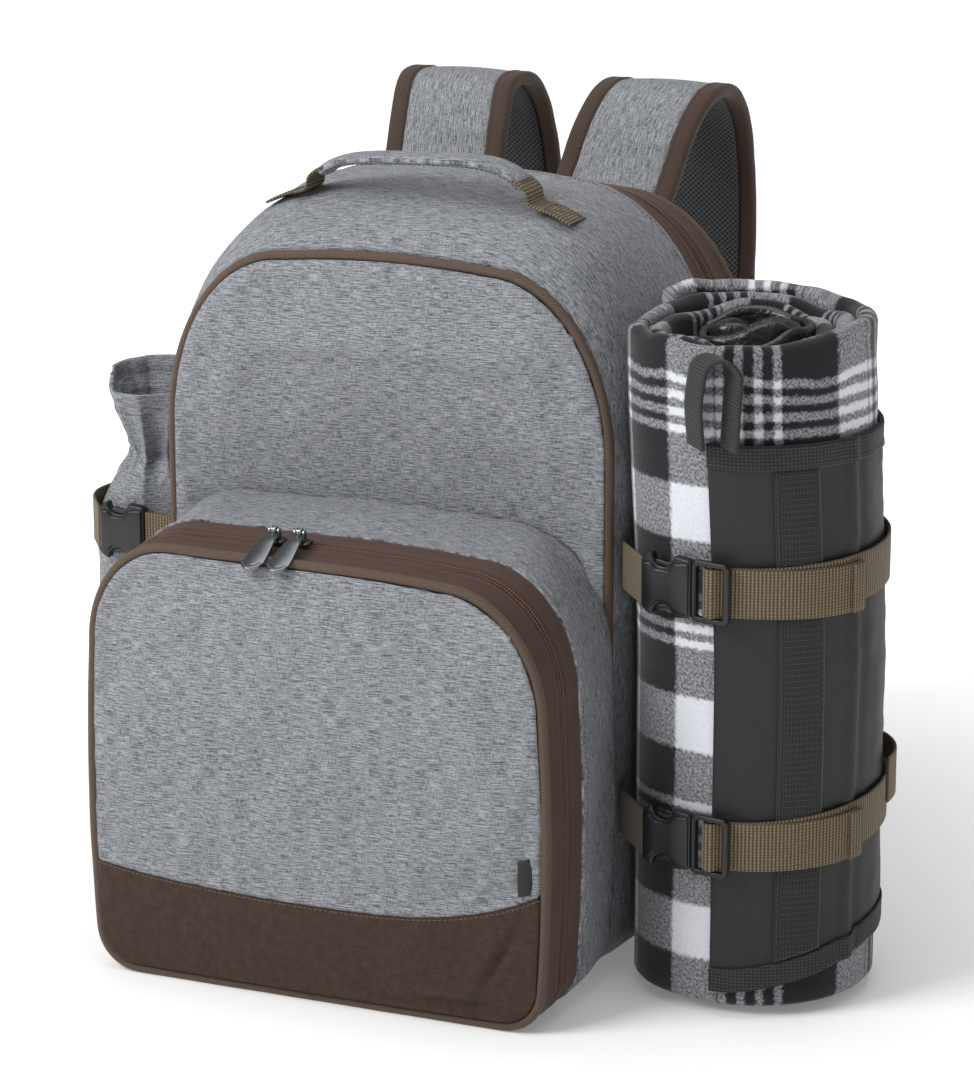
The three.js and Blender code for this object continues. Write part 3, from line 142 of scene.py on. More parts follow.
def ruffle(points: Points, size: float, depth: float = 1.0, seed: int = SEED) -> Points:
    """Smooth random relief for points of a surface.

    Args:
        points: an array of points, in millimetres.
        size: the width of one swell.
        depth: the relief's height.
        seed: shifts the relief, so that two pieces differ.
    Returns:
        One height for each point.
    """
    flat = points.reshape(-1, 3) / size + seed * 3.7
    heights = [noise.noise(Vector(point)) for point in flat]
    return depth * np.array(heights).reshape(points.shape[:-1])


# ---------------------------------------------------------------- outlines of the body

@dataclass(frozen=True)
class Section:
    """An arch with round shoulders that stands on a flat foot, all in millimetres."""

    half: float
    top: float
    wide: float
    high: float
    foot: float = FOOT_RADIUS
    floor: float = 0.0
    barrel: float = 0.0
    left: float = 1.0
    left_crown: float = CROWN

    def inset(self, by: float) -> "Section":
        """The same arch set in all round."""
        return Section(self.half - by, self.top - by, self.wide - by, self.high - by,
                       self.foot - by, self.floor + by, self.barrel, self.left, self.left_crown)

    def point(self, share: float) -> tuple[float, float]:
        """A point of the outline.

        Args:
            share: 0 and 1 are the middle of the sole, 0.5 the middle of the top.
        Returns:
            Its x and z.
        """
        mirrored = share > 0.5
        way = (1.0 - share if mirrored else share) * 2.0
        wide, high, crown = self.wide, self.high, CROWN
        if mirrored:
            wide, high, crown = wide * self.left, high * self.left, self.left_crown
        shoulder = self.top - crown - high
        sole, foot, side, round_end, _ = (stretch[1] for stretch in STRETCHES)
        if way <= sole:
            x, z = (self.half - self.foot) * way / sole, self.floor
        elif way <= foot:
            turn = (way - sole) / (foot - sole) * math.pi / 2
            x = self.half - self.foot + self.foot * math.sin(turn)
            z = self.floor + self.foot * (1 - math.cos(turn))
        elif way <= side:
            climb = (way - foot) / (side - foot)
            x = self.half + self.barrel * math.sin(math.pi * climb)
            z = mix(self.floor + self.foot, shoulder, climb)
        elif way <= round_end:
            turn = (way - side) / (round_end - side) * math.pi / 2
            x = self.half - wide + wide * math.cos(turn)
            z = shoulder + high * math.sin(turn)
        else:
            reach = (1.0 - way) / (1.0 - round_end)
            x, z = (self.half - wide) * reach, self.top - crown * reach * reach
        return (-x if mirrored else x), z


def main_section(y: float) -> Section:
    """The main body's arch at a depth."""
    depth = min(max((y - POCKET_DEPTH) / (BODY_DEPTH - POCKET_DEPTH), 0.0), 1.0)
    spread, rise, fall, wide, high = along_table(MAIN_FORM, depth)
    top = mix(FRONT_HEIGHT, CREST_HEIGHT, rise) - (CREST_HEIGHT - BACK_HEIGHT) * fall
    return Section(mix(FRONT_WIDTH, BACK_WIDTH, spread) / 2, top, CORNER[0] * wide, CORNER[1] * high)


def pocket_section(y: float) -> Section:
    """The front pocket's arch at a depth."""
    spread, rise = along_table(POCKET_FORM, min(max(y / POCKET_DEPTH, 0.0), 1.0))
    return Section(FRONT_WIDTH / 2 + 1 + 3 * spread, mix(POCKET_HEIGHT, POCKET_REAR_HEIGHT, rise),
                   *POCKET_CORNER, barrel=3.0, left=0.82, left_crown=mix(-1.0, 2.0, rise))


def half_shares(first: int = 0, last: int = 5) -> list[float]:
    """Shares along the right half of an outline, over some of its stretches."""
    shares, start = [], 0.0 if first == 0 else STRETCHES[first - 1][1]
    for _, end, count in STRETCHES[first:last]:
        shares += [mix(start, end, (k + 1) / count) / 2 for k in range(count)]
        start = end
    return shares


def ring_shares() -> list[float]:
    """Shares of the whole outline, without its first point again."""
    right = half_shares()
    return [0.0] + right + [1 - share for share in reversed(right[:-1])]


def wrap_shares() -> list[float]:
    """Shares of the arch with both feet."""
    right = [STRETCHES[0][1] / 2 - 0.004] + half_shares(1)
    return right + [1 - share for share in reversed(right[:-1])]


def under_shares() -> list[float]:
    """Shares of the sole between the feet, from left to right."""
    right = [0.0] + half_shares(0, 1)
    return [-share for share in reversed(right[1:])] + right


def softened(line: Points, passes: int, loop: bool) -> Points:
    """A line of points with its corners rounded off.

    Args:
        line: points in order.
        passes: how often each point moves to the middle of its neighbours.
        loop: whether the last point meets the first.
    Returns:
        The new points.
    """
    line = line.copy()
    for _ in range(passes):
        if loop:
            line = (np.roll(line, 1, 0) + 2 * line + np.roll(line, -1, 0)) / 4
        else:
            line[1:-1] = (line[:-2] + 2 * line[1:-1] + line[2:]) / 4
    return line


# ---------------------------------------------------------------- meshes

def to_frame(points: Points) -> Points:
    """Millimetres of the pattern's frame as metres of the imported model's frame."""
    return (points + np.array([0.0, -BODY_DEPTH / 2, 0.0])) * MM


def linked(name: str, data: bpy.types.ID) -> bpy.types.Object:
    """A new object of the scene that shows a mesh, a light or a camera."""
    made = bpy.data.objects.new(name, data)
    bpy.context.scene.collection.objects.link(made)
    return made


def mesh_piece(name: str, points: Points, faces: Sequence[Sequence[int]],
               uvs: Optional[Points] = None) -> bpy.types.Object:
    """A mesh object from points in millimetres.

    Args:
        name: the piece's name.
        points: its vertices.
        faces: indices of its faces.
        uvs: cloth coordinates of its vertices, in millimetres along and across.
    Returns:
        The new object, linked to the scene.
    """
    mesh = bpy.data.meshes.new(name)
    mesh.from_pydata(to_frame(np.asarray(points, float)).tolist(), [], [list(face) for face in faces])
    if uvs is not None:
        layer = mesh.uv_layers.new(name="cloth")
        index = np.zeros(len(mesh.loops), np.int64)
        mesh.loops.foreach_get("vertex_index", index)
        layer.data.foreach_set("uv", (np.asarray(uvs, float)[index] * MM).astype(np.float32).ravel())
    mesh.update()
    piece = linked(name, mesh)
    turn_outwards(piece)
    mesh.shade_smooth()
    return piece


def turn_outwards(piece: bpy.types.Object) -> None:
    """Points a closed mesh's faces outwards."""
    work = bmesh.new()
    work.from_mesh(piece.data)
    if work.calc_volume(signed=True) < 0:
        bmesh.ops.reverse_faces(work, faces=work.faces)
        work.to_mesh(piece.data)
    work.free()


@dataclass
class Sheet:
    """A cloth surface as rows and columns of points, with its own flat coordinates."""

    points: Points
    uvs: Points
    loop: bool = False

    def normals(self) -> Points:
        """Unit normals of the surface."""
        points = self.points
        if self.loop:
            down = np.roll(points, -1, 0) - np.roll(points, 1, 0)
        else:
            down = np.gradient(points, axis=0)
        cross = np.cross(down, np.gradient(points, axis=1))
        return cross / np.maximum(np.linalg.norm(cross, axis=-1, keepdims=True), 1e-9)

    def pushed(self, heights: Union[float, Points]) -> "Sheet":
        """The surface moved along its normals."""
        lift = np.broadcast_to(np.asarray(heights, float), self.points.shape[:-1])
        return Sheet(self.points + self.normals() * lift[..., None], self.uvs, self.loop)

    def solid(self, name: str, thick: float) -> bpy.types.Object:
        """The surface as a closed cloth wall.

        Args:
            name: the piece's name.
            thick: the cloth's thickness, inwards.
        Returns:
            The new object.
        """
        outer, inner = self.points, self.points - self.normals() * thick
        rows, columns = outer.shape[:2]
        points = np.concatenate([outer.reshape(-1, 3), inner.reshape(-1, 3)])
        uvs = np.concatenate([self.uvs.reshape(-1, 2)] * 2)
        faces, base = [], rows * columns
        span = rows if self.loop else rows - 1
        for i in range(span):
            a, b = i * columns, ((i + 1) % rows) * columns
            for j in range(columns - 1):
                faces.append((a + j, b + j, b + j + 1, a + j + 1))
                faces.append((base + a + j, base + a + j + 1, base + b + j + 1, base + b + j))
            for j, turned in ((0, False), (columns - 1, True)):
                edge = (a + j, base + a + j, base + b + j, b + j)
                faces.append(edge[::-1] if turned else edge)
        if not self.loop:
            for i, turned in ((0, True), (rows - 1, False)):
                for j in range(columns - 1):
                    a = i * columns + j
                    edge = (a, base + a, base + a + 1, a + 1)
                    faces.append(edge[::-1] if turned else edge)
        return mesh_piece(name, points, faces, uvs)


def loft(name: str, rings: Points, uvs: Points, loop: bool = False) -> bpy.types.Object:
    """A closed bar through rings of points.

    Args:
        name: the piece's name.
        rings: an array of rings, each with the same number of points.
        uvs: cloth coordinates of the rings' points.
        loop: whether the last ring meets the first, in place of two end caps.
    Returns:
        The new object.
    """
    count, sides = rings.shape[:2]
    faces = []
    for i in range(count if loop else count - 1):
        a, b = i * sides, ((i + 1) % count) * sides
        for j in range(sides):
            k = (j + 1) % sides
            faces.append((a + j, b + j, b + k, a + k))
    if not loop:
        faces.append(tuple(range(sides)))
        faces.append(tuple(reversed(range((count - 1) * sides, count * sides))))
    return mesh_piece(name, rings.reshape(-1, 3), faces, uvs.reshape(-1, 2))


def lengths_along(line: Points) -> Points:
    """The distance of each point of a line from its start."""
    return np.concatenate([[0.0], np.cumsum(np.linalg.norm(np.diff(line, axis=0), axis=1))])


def tangents(line: Points, loop: bool = False) -> Points:
    """Unit directions along a line."""
    ahead = np.roll(line, -1, 0) - np.roll(line, 1, 0) if loop else np.gradient(line, axis=0)
    return ahead / np.maximum(np.linalg.norm(ahead, axis=1, keepdims=True), 1e-9)


def resampled(line: Points, step: float) -> Points:
    """A smooth curve through points, at an even step."""
    line = np.asarray(line, float)
    padded = np.concatenate([2 * line[:1] - line[1:2], line, 2 * line[-1:] - line[-2:-1]])
    fine = []
    for k in range(len(line) - 1):
        a, b, c, d = padded[k:k + 4]
        for share in np.linspace(0, 1, 24, endpoint=False):
            fine.append(0.5 * (2 * b + (c - a) * share + (2 * a - 5 * b + 4 * c - d) * share ** 2
                               + (3 * b - a - 3 * c + d) * share ** 3))
    fine = np.array(fine + [line[-1]])
    run = lengths_along(fine)
    marks = np.linspace(0, run[-1], max(int(round(run[-1] / step)), 2) + 1)
    return np.stack([np.interp(marks, run, fine[:, k]) for k in range(3)], 1)


def sweep(name: str, line: Points, across: Points, profile: Sequence[tuple[float, float]],
          taper: Optional[Points] = None, loop: bool = False,
          flat: Optional[Sequence[float]] = None) -> bpy.types.Object:
    """A bar, a ribbon or a tape with one profile along a line.

    Args:
        name: the piece's name.
        line: its centre line.
        across: the direction of its width, one for all points or one for each.
        profile: points of the profile, as width and height above the line.
        taper: a scale of the profile at each point.
        loop: whether the line is closed.
        flat: the profile's own cloth coordinates, in place of its widths.
    Returns:
        The new object.
    """
    line = np.asarray(line, float)
    across = np.broadcast_to(np.asarray(across, float), line.shape)
    run = tangents(line, loop)
    out = np.cross(run, across)
    out /= np.maximum(np.linalg.norm(out, axis=1, keepdims=True), 1e-9)
    shape = np.asarray(profile, float)
    size = np.ones(len(line)) if taper is None else np.asarray(taper, float)
    rings = (line[:, None] + across[:, None] * (shape[None, :, :1] * size[:, None, None])
             + out[:, None] * (shape[None, :, 1:] * size[:, None, None]))
    wide = shape[:, 0] if flat is None else np.asarray(flat, float)
    uvs = np.stack(np.broadcast_arrays(lengths_along(line)[:, None], wide[None]), -1)
    return loft(name, rings, uvs, loop)


def flat_profile(wide: float, thick: float, rounding: float = 0.5) -> list[tuple[float, float]]:
    """The profile of a strap: flat with soft edges."""
    half, low = wide / 2, thick / 2
    edge = low * rounding * 2
    inner = [mix(-half + edge, half - edge, k / 8) for k in range(9)]
    top = [(x, low) for x in inner]
    return top + [(half, low * 0.4), (half, -low * 0.4)] + [(x, -low) for x in reversed(inner)] + [
        (-half, -low * 0.4), (-half, low * 0.4)]


def round_profile(radius: float, sides: int = 12) -> list[tuple[float, float]]:
    """The profile of a cord."""
    turns = [2 * math.pi * k / sides for k in range(sides)]
    return [(radius * math.cos(turn), radius * math.sin(turn)) for turn in turns]


def slab(name: str, outline: Sequence[tuple[float, float]], thick: float, basis: Matrix, bevel: float,
         holes: Sequence[Sequence[tuple[float, float]]] = ()) -> bpy.types.Object:
    """A moulded plate with rounded edges.

    Args:
        name: the piece's name.
        outline: its corners, in its own plane.
        thick: its thickness above that plane.
        basis: a matrix from its plane to the pattern's frame, in millimetres.
        bevel: the edges' radius.
        holes: outlines cut through it.
    Returns:
        The new object.
    """
    work = bmesh.new()
    loops = [outline, *holes]
    edges = []
    for line in loops:
        verts = [work.verts.new((x, y, 0)) for x, y in line]
        edges += [work.edges.new((verts[k], verts[(k + 1) % len(verts)])) for k in range(len(verts))]
    bmesh.ops.triangle_fill(work, use_beauty=True, use_dissolve=False, edges=edges)
    bmesh.ops.dissolve_limit(work, angle_limit=0.01, verts=work.verts, edges=work.edges)
    made = bmesh.ops.extrude_face_region(work, geom=work.faces[:])
    moved = [item for item in made["geom"] if isinstance(item, bmesh.types.BMVert)]
    bmesh.ops.translate(work, verts=moved, vec=(0, 0, thick))
    bmesh.ops.recalc_face_normals(work, faces=work.faces)
    sharp = [edge for edge in work.edges if len(edge.link_faces) == 2 and edge.calc_face_angle() > 0.6]
    bmesh.ops.bevel(work, geom=sharp, offset=bevel, segments=3, profile=0.5, affect="EDGES",
                    clamp_overlap=True)
    bmesh.ops.transform(work, matrix=basis, verts=work.verts)
    bmesh.ops.transform(work, matrix=TO_FRAME, verts=work.verts)
    bmesh.ops.triangulate(work, faces=[face for face in work.faces if len(face.verts) > 4])
    if work.calc_volume(signed=True) < 0:
        bmesh.ops.reverse_faces(work, faces=work.faces)
    mesh = bpy.data.meshes.new(name)
    work.to_mesh(mesh)
    work.free()
    mesh.shade_smooth()
    return linked(name, mesh)


def joined(name: str, pieces: Sequence[bpy.types.Object]) -> bpy.types.Object:
    """Several meshes as one object.

    Args:
        name: the name of the whole.
        pieces: the objects, of which the first stays.
    Returns:
        The joined object.
    """
    with bpy.context.temp_override(active_object=pieces[0], selected_editable_objects=list(pieces),
                                   object=pieces[0], selected_objects=list(pieces)):
        bpy.ops.object.join()
    pieces[0].name = name
    pieces[0].data.name = name
    return pieces[0]


def finished(piece: bpy.types.Object, look: bpy.types.Material, nodes: Iterable[str] = (),
             body: str = PACK) -> bpy.types.Object:
    """Dresses a piece and tells the frame what it rides on and stands for.

    Args:
        piece: the mesh object.
        look: its material.
        nodes: CAD nodes that it replaces.
        body: the CAD body that it moves with.
    Returns:
        The same object.
    """
    if not piece.data.materials:
        piece.data.materials.append(look)
    names = list(nodes)
    if names:
        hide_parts(*names)
    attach(piece, body)
    LOG.info("%-26s %6d faces, for %s", piece.name, len(piece.data.polygons), ", ".join(names) or "no node")
    return piece


# ---------------------------------------------------------------- shader nodes

Value = Union[float, bpy.types.NodeSocket]


def linear(hex_code: int) -> tuple[float, float, float, float]:
    """An sRGB hex colour as a linear colour for shader sockets."""
    parts = [((hex_code >> shift) & 255) / 255 for shift in (16, 8, 0)]
    bright = [part / 12.92 if part <= 0.04045 else ((part + 0.055) / 1.055) ** 2.4 for part in parts]
    return (*bright, 1.0)


def add_node(tree: bpy.types.NodeTree, kind: str, settings: Optional[dict] = None,
             inputs: Optional[dict] = None) -> bpy.types.Node:
    """Adds a node.

    Args:
        tree: the node tree.
        kind: the node's type.
        settings: properties of the node itself.
        inputs: values or sockets to link, by the input's name or number.
    Returns:
        The new node.
    """
    made = tree.nodes.new(kind)
    for key, value in (settings or {}).items():
        setattr(made, key, value)
    for key, value in (inputs or {}).items():
        socket = made.inputs[key]
        if isinstance(value, bpy.types.NodeSocket):
            tree.links.new(value, socket)
        else:
            socket.default_value = value
    return made


@dataclass(frozen=True)
class Finish:
    """How a surface answers light, apart from its pattern."""

    roughness: float = 0.9
    sheen: float = 0.0
    metallic: float = 0.0
    coat: float = 0.0
    specular: float = 0.5
    bump: float = 0.25


class Look:
    """One material, with its cloth coordinates in millimetres: u along the piece and v across it."""

    def __init__(self, name: str, finish: Finish) -> None:
        """Starts a material with a plain surface.

        Args:
            name: the material's name.
            finish: its response to light.
        """
        self.material = bpy.data.materials.new(name)
        self.material.use_nodes = True
        self.tree = self.material.node_tree
        self.shader = self.tree.nodes["Principled BSDF"]
        self.finish = finish
        plain = {"Roughness": finish.roughness, "Metallic": finish.metallic, "Coat Weight": finish.coat,
                 "Specular IOR Level": finish.specular, "Sheen Weight": finish.sheen}
        for key, value in plain.items():
            self.shader.inputs[key].default_value = value
        self.shader.inputs["Sheen Roughness"].default_value = 0.45
        source = add_node(self.tree, "ShaderNodeUVMap", {"uv_map": "cloth"})
        grown = add_node(self.tree, "ShaderNodeVectorMath", {"operation": "SCALE"},
                         {0: source.outputs[0], "Scale": 1000.0})
        split = add_node(self.tree, "ShaderNodeSeparateXYZ", None, {0: grown.outputs[0]})
        self.u, self.v = split.outputs[0], split.outputs[1]

    def sum(self, operation: str, a: Value, b: Value = 0.0, c: Value = 0.0) -> bpy.types.NodeSocket:
        """A math node's result."""
        return add_node(self.tree, "ShaderNodeMath", {"operation": operation}, {0: a, 1: b, 2: c}).outputs[0]

    def wave(self, value: Value, pitch: float) -> bpy.types.NodeSocket:
        """A smooth wave from 0 to 1 of one pitch in millimetres."""
        turned = self.sum("SINE", self.sum("MULTIPLY", value, 2 * math.pi / pitch))
        return self.sum("MULTIPLY_ADD", turned, 0.5, 0.5)

    def fold(self, value: Value, pitch: float) -> bpy.types.NodeSocket:
        """A zigzag that climbs and falls by half a pitch."""
        return self.sum("PINGPONG", value, pitch / 2)

    def noise(self, long: float, wide: float, detail: float = 2.0,
              shift: float = 0.0) -> bpy.types.NodeSocket:
        """Noise with blotches of one length and width in millimetres."""
        u = self.sum("DIVIDE", self.u, long)
        v = self.sum("DIVIDE", self.v, wide)
        place = add_node(self.tree, "ShaderNodeCombineXYZ", None, {0: u, 1: v, 2: shift})
        made = add_node(self.tree, "ShaderNodeTexNoise", {"noise_dimensions": "3D"},
                        {"Vector": place.outputs[0], "Scale": 1.0, "Detail": detail, "Roughness": 0.55})
        return made.outputs["Fac"]

    def step(self, value: Value, low: float, high: float) -> bpy.types.NodeSocket:
        """0 below low, 1 above high and smooth between."""
        made = add_node(self.tree, "ShaderNodeMapRange", {"interpolation_type": "SMOOTHSTEP"},
                        {"Value": value, "From Min": low, "From Max": high})
        return made.outputs[0]

    def local(self, value: Value, period: float, centre: float) -> bpy.types.NodeSocket:
        """The way from the nearest of a row of centres."""
        moved = self.sum("ADD", value, 80 * period + period / 2 - centre)
        return self.sum("SUBTRACT", self.sum("MODULO", moved, period), period / 2)

    def stripe(self, value: Value, period: float, centre: float, wide: float,
               soft: float = 1.0) -> bpy.types.NodeSocket:
        """1 inside a stripe that comes back each period, 0 outside it."""
        away = self.sum("ABSOLUTE", self.local(value, period, centre))
        inside = self.step(away, wide / 2 - soft / 2, wide / 2 + soft / 2)
        return self.sum("SUBTRACT", 1.0, inside)

    def colours(self, share: Value, first: int, second: int) -> bpy.types.NodeSocket:
        """A mix of two hex colours."""
        made = add_node(self.tree, "ShaderNodeMix", {"data_type": "RGBA"})
        colours = [socket for socket in made.inputs if socket.type == "RGBA"]
        colours[0].default_value, colours[1].default_value = linear(first), linear(second)
        if isinstance(share, bpy.types.NodeSocket):
            self.tree.links.new(share, made.inputs[0])
        else:
            made.inputs[0].default_value = share
        return [socket for socket in made.outputs if socket.type == "RGBA"][0]

    def blend(self, share: Value, first: Value, second: Value) -> bpy.types.NodeSocket:
        """A mix of two colour sockets."""
        made = add_node(self.tree, "ShaderNodeMix", {"data_type": "RGBA"})
        colours = [socket for socket in made.inputs if socket.type == "RGBA"]
        for socket, source in zip(colours, (first, second)):
            self.tree.links.new(source, socket)
        self.tree.links.new(share, made.inputs[0])
        return [socket for socket in made.outputs if socket.type == "RGBA"][0]

    def done(self, colour: Value, height: Optional[Value] = None, depth: float = 0.3) -> bpy.types.Material:
        """Links the colour and the relief to the surface.

        Args:
            colour: the base colour's socket.
            height: relief from 0 to 1.
            depth: its depth in millimetres.
        Returns:
            The material.
        """
        self.tree.links.new(colour, self.shader.inputs["Base Color"])
        if height is not None:
            relief = add_node(self.tree, "ShaderNodeBump", None,
                              {"Height": height, "Distance": depth * MM, "Strength": self.finish.bump})
            self.tree.links.new(relief.outputs[0], self.shader.inputs["Normal"])
        return self.material


# ---------------------------------------------------------------- materials

class Tone(Enum):
    """The materials that the pieces wear."""

    HEATHER = "heather"
    PIPING = "piping_cord"
    BINDING = "binding_tape"
    ZIP_TAPE = "zip_tape"
    ZIP_TEETH = "zip_teeth"
    TWILL = "base_twill"
    WEBBING = "khaki_webbing"
    LADDER = "ladder_webbing"
    HEM = "hem_webbing"
    CARRIER = "carrier_twill"
    FLEECE = "plaid_fleece"
    LINING = "shiny_lining"
    MESH = "spacer_mesh"
    PLASTIC = "buckle_plastic"
    METAL = "gunmetal"
    DARK_THREAD = "dark_thread"
    TAN_THREAD = "tan_thread"
    BLACK_THREAD = "black_thread"


def heather_cloth() -> bpy.types.Material:
    """Grey canvas of two-tone slub yarn: pale and dark streaks along the yarn with a fine plain weave."""
    look = Look(Tone.HEATHER.value, Finish(0.95, 0.08, bump=0.6, specular=0.2))
    streak = look.noise(10.0, 0.6, 2.0)
    short = look.noise(3.0, 0.45, 1.0, 7.0)
    upright = look.noise(0.42, 5.0, 2.0, 3.0)
    swell = look.noise(60.0, 60.0, 1.0, 5.0)
    blend = look.sum("ADD", look.sum("MULTIPLY", streak, 0.48), look.sum("MULTIPLY", short, 0.27))
    blend = look.sum("ADD", blend, look.sum("MULTIPLY", upright, 0.25))
    shade = look.step(blend, 0.37, 0.63)
    shade = look.sum("ADD", shade, look.sum("MULTIPLY_ADD", swell, 0.12, -0.06))
    weave = look.sum("MULTIPLY", look.wave(look.u, 0.9), look.wave(look.v, 0.9))
    height = look.sum("ADD", look.sum("MULTIPLY", weave, 0.5), blend)
    return look.done(look.colours(shade, 0x484B50, 0xA4A6AB), height, 0.35)


def piping_cord() -> bpy.types.Material:
    """Brown piping: a cord in a narrow herringbone tape, whose chevrons catch the light."""
    look = Look(Tone.PIPING.value, Finish(0.75, 0.1, bump=0.8))
    chevron = look.sum("ADD", look.u, look.sum("ABSOLUTE", look.v))
    rib = look.wave(chevron, 1.55)
    uneven = look.noise(2.0, 1.2, 2.0)
    share = look.sum("MULTIPLY", rib, look.sum("MULTIPLY_ADD", uneven, 0.9, 0.35))
    return look.done(look.colours(share, 0x2E1F17, 0x77604F), rib, 0.35)


def woven_tape(tone: Tone, dark: int, light: int, pitch: float) -> bpy.types.Material:
    """A narrow woven tape with a fine herringbone between its edges."""
    look = Look(tone.value, Finish(0.85, 0.1, bump=0.5))
    rib = look.wave(look.sum("ADD", look.u, look.fold(look.v, 5.0)), pitch)
    uneven = look.noise(3.0, 0.8, 2.0)
    share = look.sum("MULTIPLY", rib, look.sum("MULTIPLY_ADD", uneven, 0.8, 0.2))
    return look.done(look.colours(share, dark, light), rib, 0.3)


def base_twill() -> bpy.types.Material:
    """Dark brown drill: steep diagonal lines of worn, slightly paler yarn, broken into short floats."""
    look = Look(Tone.TWILL.value, Finish(0.9, 0.06, bump=0.8, specular=0.3))
    line = look.wave(look.sum("SUBTRACT", look.u, look.v), 1.75)
    floats = look.sum("MULTIPLY_ADD", look.wave(look.sum("ADD", look.u, look.v), 1.3), 0.6, 0.4)
    worn = look.noise(5.0, 5.0, 3.0)
    yarn = look.sum("MULTIPLY", line, floats)
    share = look.sum("MULTIPLY", yarn, look.sum("MULTIPLY_ADD", worn, 1.3, 0.1))
    return look.done(look.colours(share, 0x1F1511, 0x6E5748), yarn, 0.35)


def ribbed_webbing(tone: Tone, dark: int, light: int, rib: float, row: float) -> bpy.types.Material:
    """Strap webbing: ribs across its width, broken by lengthwise rows of binding yarn."""
    look = Look(tone.value, Finish(0.78, 0.12, bump=0.9))
    ribs = look.wave(look.u, rib)
    rows = look.wave(look.v, row)
    worn = look.noise(2.2, 1.1, 2.0)
    height = look.sum("MULTIPLY", ribs, look.sum("MULTIPLY_ADD", rows, 0.6, 0.4))
    share = look.sum("MULTIPLY", height, look.sum("MULTIPLY_ADD", worn, 1.3, 0.25))
    return look.done(look.colours(share, dark, light), height, 0.5)


def carrier_twill() -> bpy.types.Material:
    """Black nylon twill with a faint grey diagonal."""
    look = Look(Tone.CARRIER.value, Finish(0.62, 0.05, bump=0.5))
    line = look.wave(look.sum("ADD", look.u, look.v), 1.5)
    worn = look.noise(3.0, 3.0, 2.0)
    return look.done(look.colours(look.sum("MULTIPLY", line, worn), 0x0A0A0B, 0x2E2E31), line, 0.25)


def hem_webbing() -> bpy.types.Material:
    """Black edge webbing with short pale dashes in rows along it."""
    look = Look(Tone.HEM.value, Finish(0.7, 0.05, bump=0.6))
    dash = look.sum("MULTIPLY", look.stripe(look.u, 2.4, 0.0, 1.2, 0.5),
                    look.stripe(look.v, 2.1, 0.0, 0.8, 0.5))
    uneven = look.noise(6.0, 2.0, 2.0)
    share = look.sum("MULTIPLY", dash, look.sum("MULTIPLY_ADD", uneven, 1.0, 0.1))
    return look.done(look.colours(share, 0x0E0E0F, 0x4C4C50), dash, 0.3)


def thin_lines(look: Look, value: Value, period: float, centre: float, pitch: float) -> bpy.types.NodeSocket:
    """Four thin lines about a centre, which come back each period."""
    place = look.local(value, period, centre)
    lines = look.stripe(place, pitch, pitch / 2, 5.0, 2.2)
    away = look.sum("ABSOLUTE", place)
    outside = look.step(away, 2 * pitch - 1.0, 2 * pitch)
    return look.sum("MULTIPLY", lines, look.sum("SUBTRACT", 1.0, outside))


def plaid_fleece() -> bpy.types.Material:
    """Brushed fleece printed in a plaid: white where bands cross, grey on one band, black elsewhere."""
    look = Look(Tone.FLEECE.value, Finish(1.0, 0.3, bump=0.5, specular=0.1))
    fuzz = look.noise(1.8, 1.8, 4.0)
    edge = look.noise(3.0, 3.0, 3.0, 4.0)
    shift = look.sum("MULTIPLY_ADD", edge, 5.0, -2.5)
    around = look.sum("ADD", look.u, shift)
    up = look.sum("ADD", look.v, shift)
    bold_u, bold_v = look.stripe(around, 112.0, 90.3, 32.0, 3.0), look.stripe(up, 132.0, 52.4, 34.0, 3.0)
    band_u = look.sum("MAXIMUM", bold_u, thin_lines(look, around, 112.0, 15.3, 11.7))
    band_v = look.sum("MAXIMUM", bold_v, thin_lines(look, up, 132.0, 118.0, 10.0))
    both = look.sum("MULTIPLY", band_u, band_v)
    one = look.sum("MAXIMUM", band_u, band_v)
    twill = look.wave(look.sum("ADD", look.u, look.v), 2.6)
    mottle = look.sum("MULTIPLY_ADD", twill, 0.25, look.step(fuzz, 0.3, 0.75))
    grey = look.colours(mottle, 0x3F4043, 0x9A9BA0)
    black = look.colours(fuzz, 0x161618, 0x2B2C2F)
    white = look.colours(fuzz, 0xBDBFC8, 0xE8EAF0)
    colour = look.blend(both, look.blend(one, black, grey), white)
    pile = look.sum("ADD", fuzz, look.sum("MULTIPLY", look.noise(0.7, 0.7, 1.0, 2.0), 0.6))
    return look.done(colour, pile, 0.8)


def shiny_lining() -> bpy.types.Material:
    """The blanket's dark waterproof back: a soft, slightly glossy coated cloth, with painted shade in its
    creases.
    """
    look = Look(Tone.LINING.value, Finish(0.34, 0.0, coat=0.2, bump=0.7))
    crease = look.noise(14.0, 5.0, 3.0)
    # the creases' height also sets the colour, darker in the hollows and lighter on the crests: painted
    # shade
    return look.done(look.colours(crease, 0x080809, 0x19191B), crease, 2.0)


def spacer_mesh() -> bpy.types.Material:
    """Black spacer mesh: diamonds of dark holes between thin paler strands."""
    look = Look(Tone.MESH.value, Finish(0.7, 0.05, bump=0.9))
    strands = look.sum("MAXIMUM", look.stripe(look.sum("ADD", look.u, look.v), 3.8, 0.0, 0.9, 0.8),
                       look.stripe(look.sum("SUBTRACT", look.u, look.v), 3.8, 0.0, 0.9, 0.8))
    return look.done(look.colours(strands, 0x080809, 0x5C5D61), strands, 0.6)


def moulded_plastic() -> bpy.types.Material:
    """Satin black acetal, faintly grained by its mould."""
    look = Look(Tone.PLASTIC.value, Finish(0.4, 0.0, bump=0.15))
    grain = look.noise(0.5, 0.5, 1.0)
    return look.done(look.colours(grain, 0x0B0B0D, 0x131315), grain, 0.1)


def gunmetal() -> bpy.types.Material:
    """Polished zinc die-casting with a dark nickel plate."""
    look = Look(Tone.METAL.value, Finish(0.2, 0.0, metallic=1.0))
    return look.done(look.colours(0.5, 0x6A6C71, 0x7C7E83))


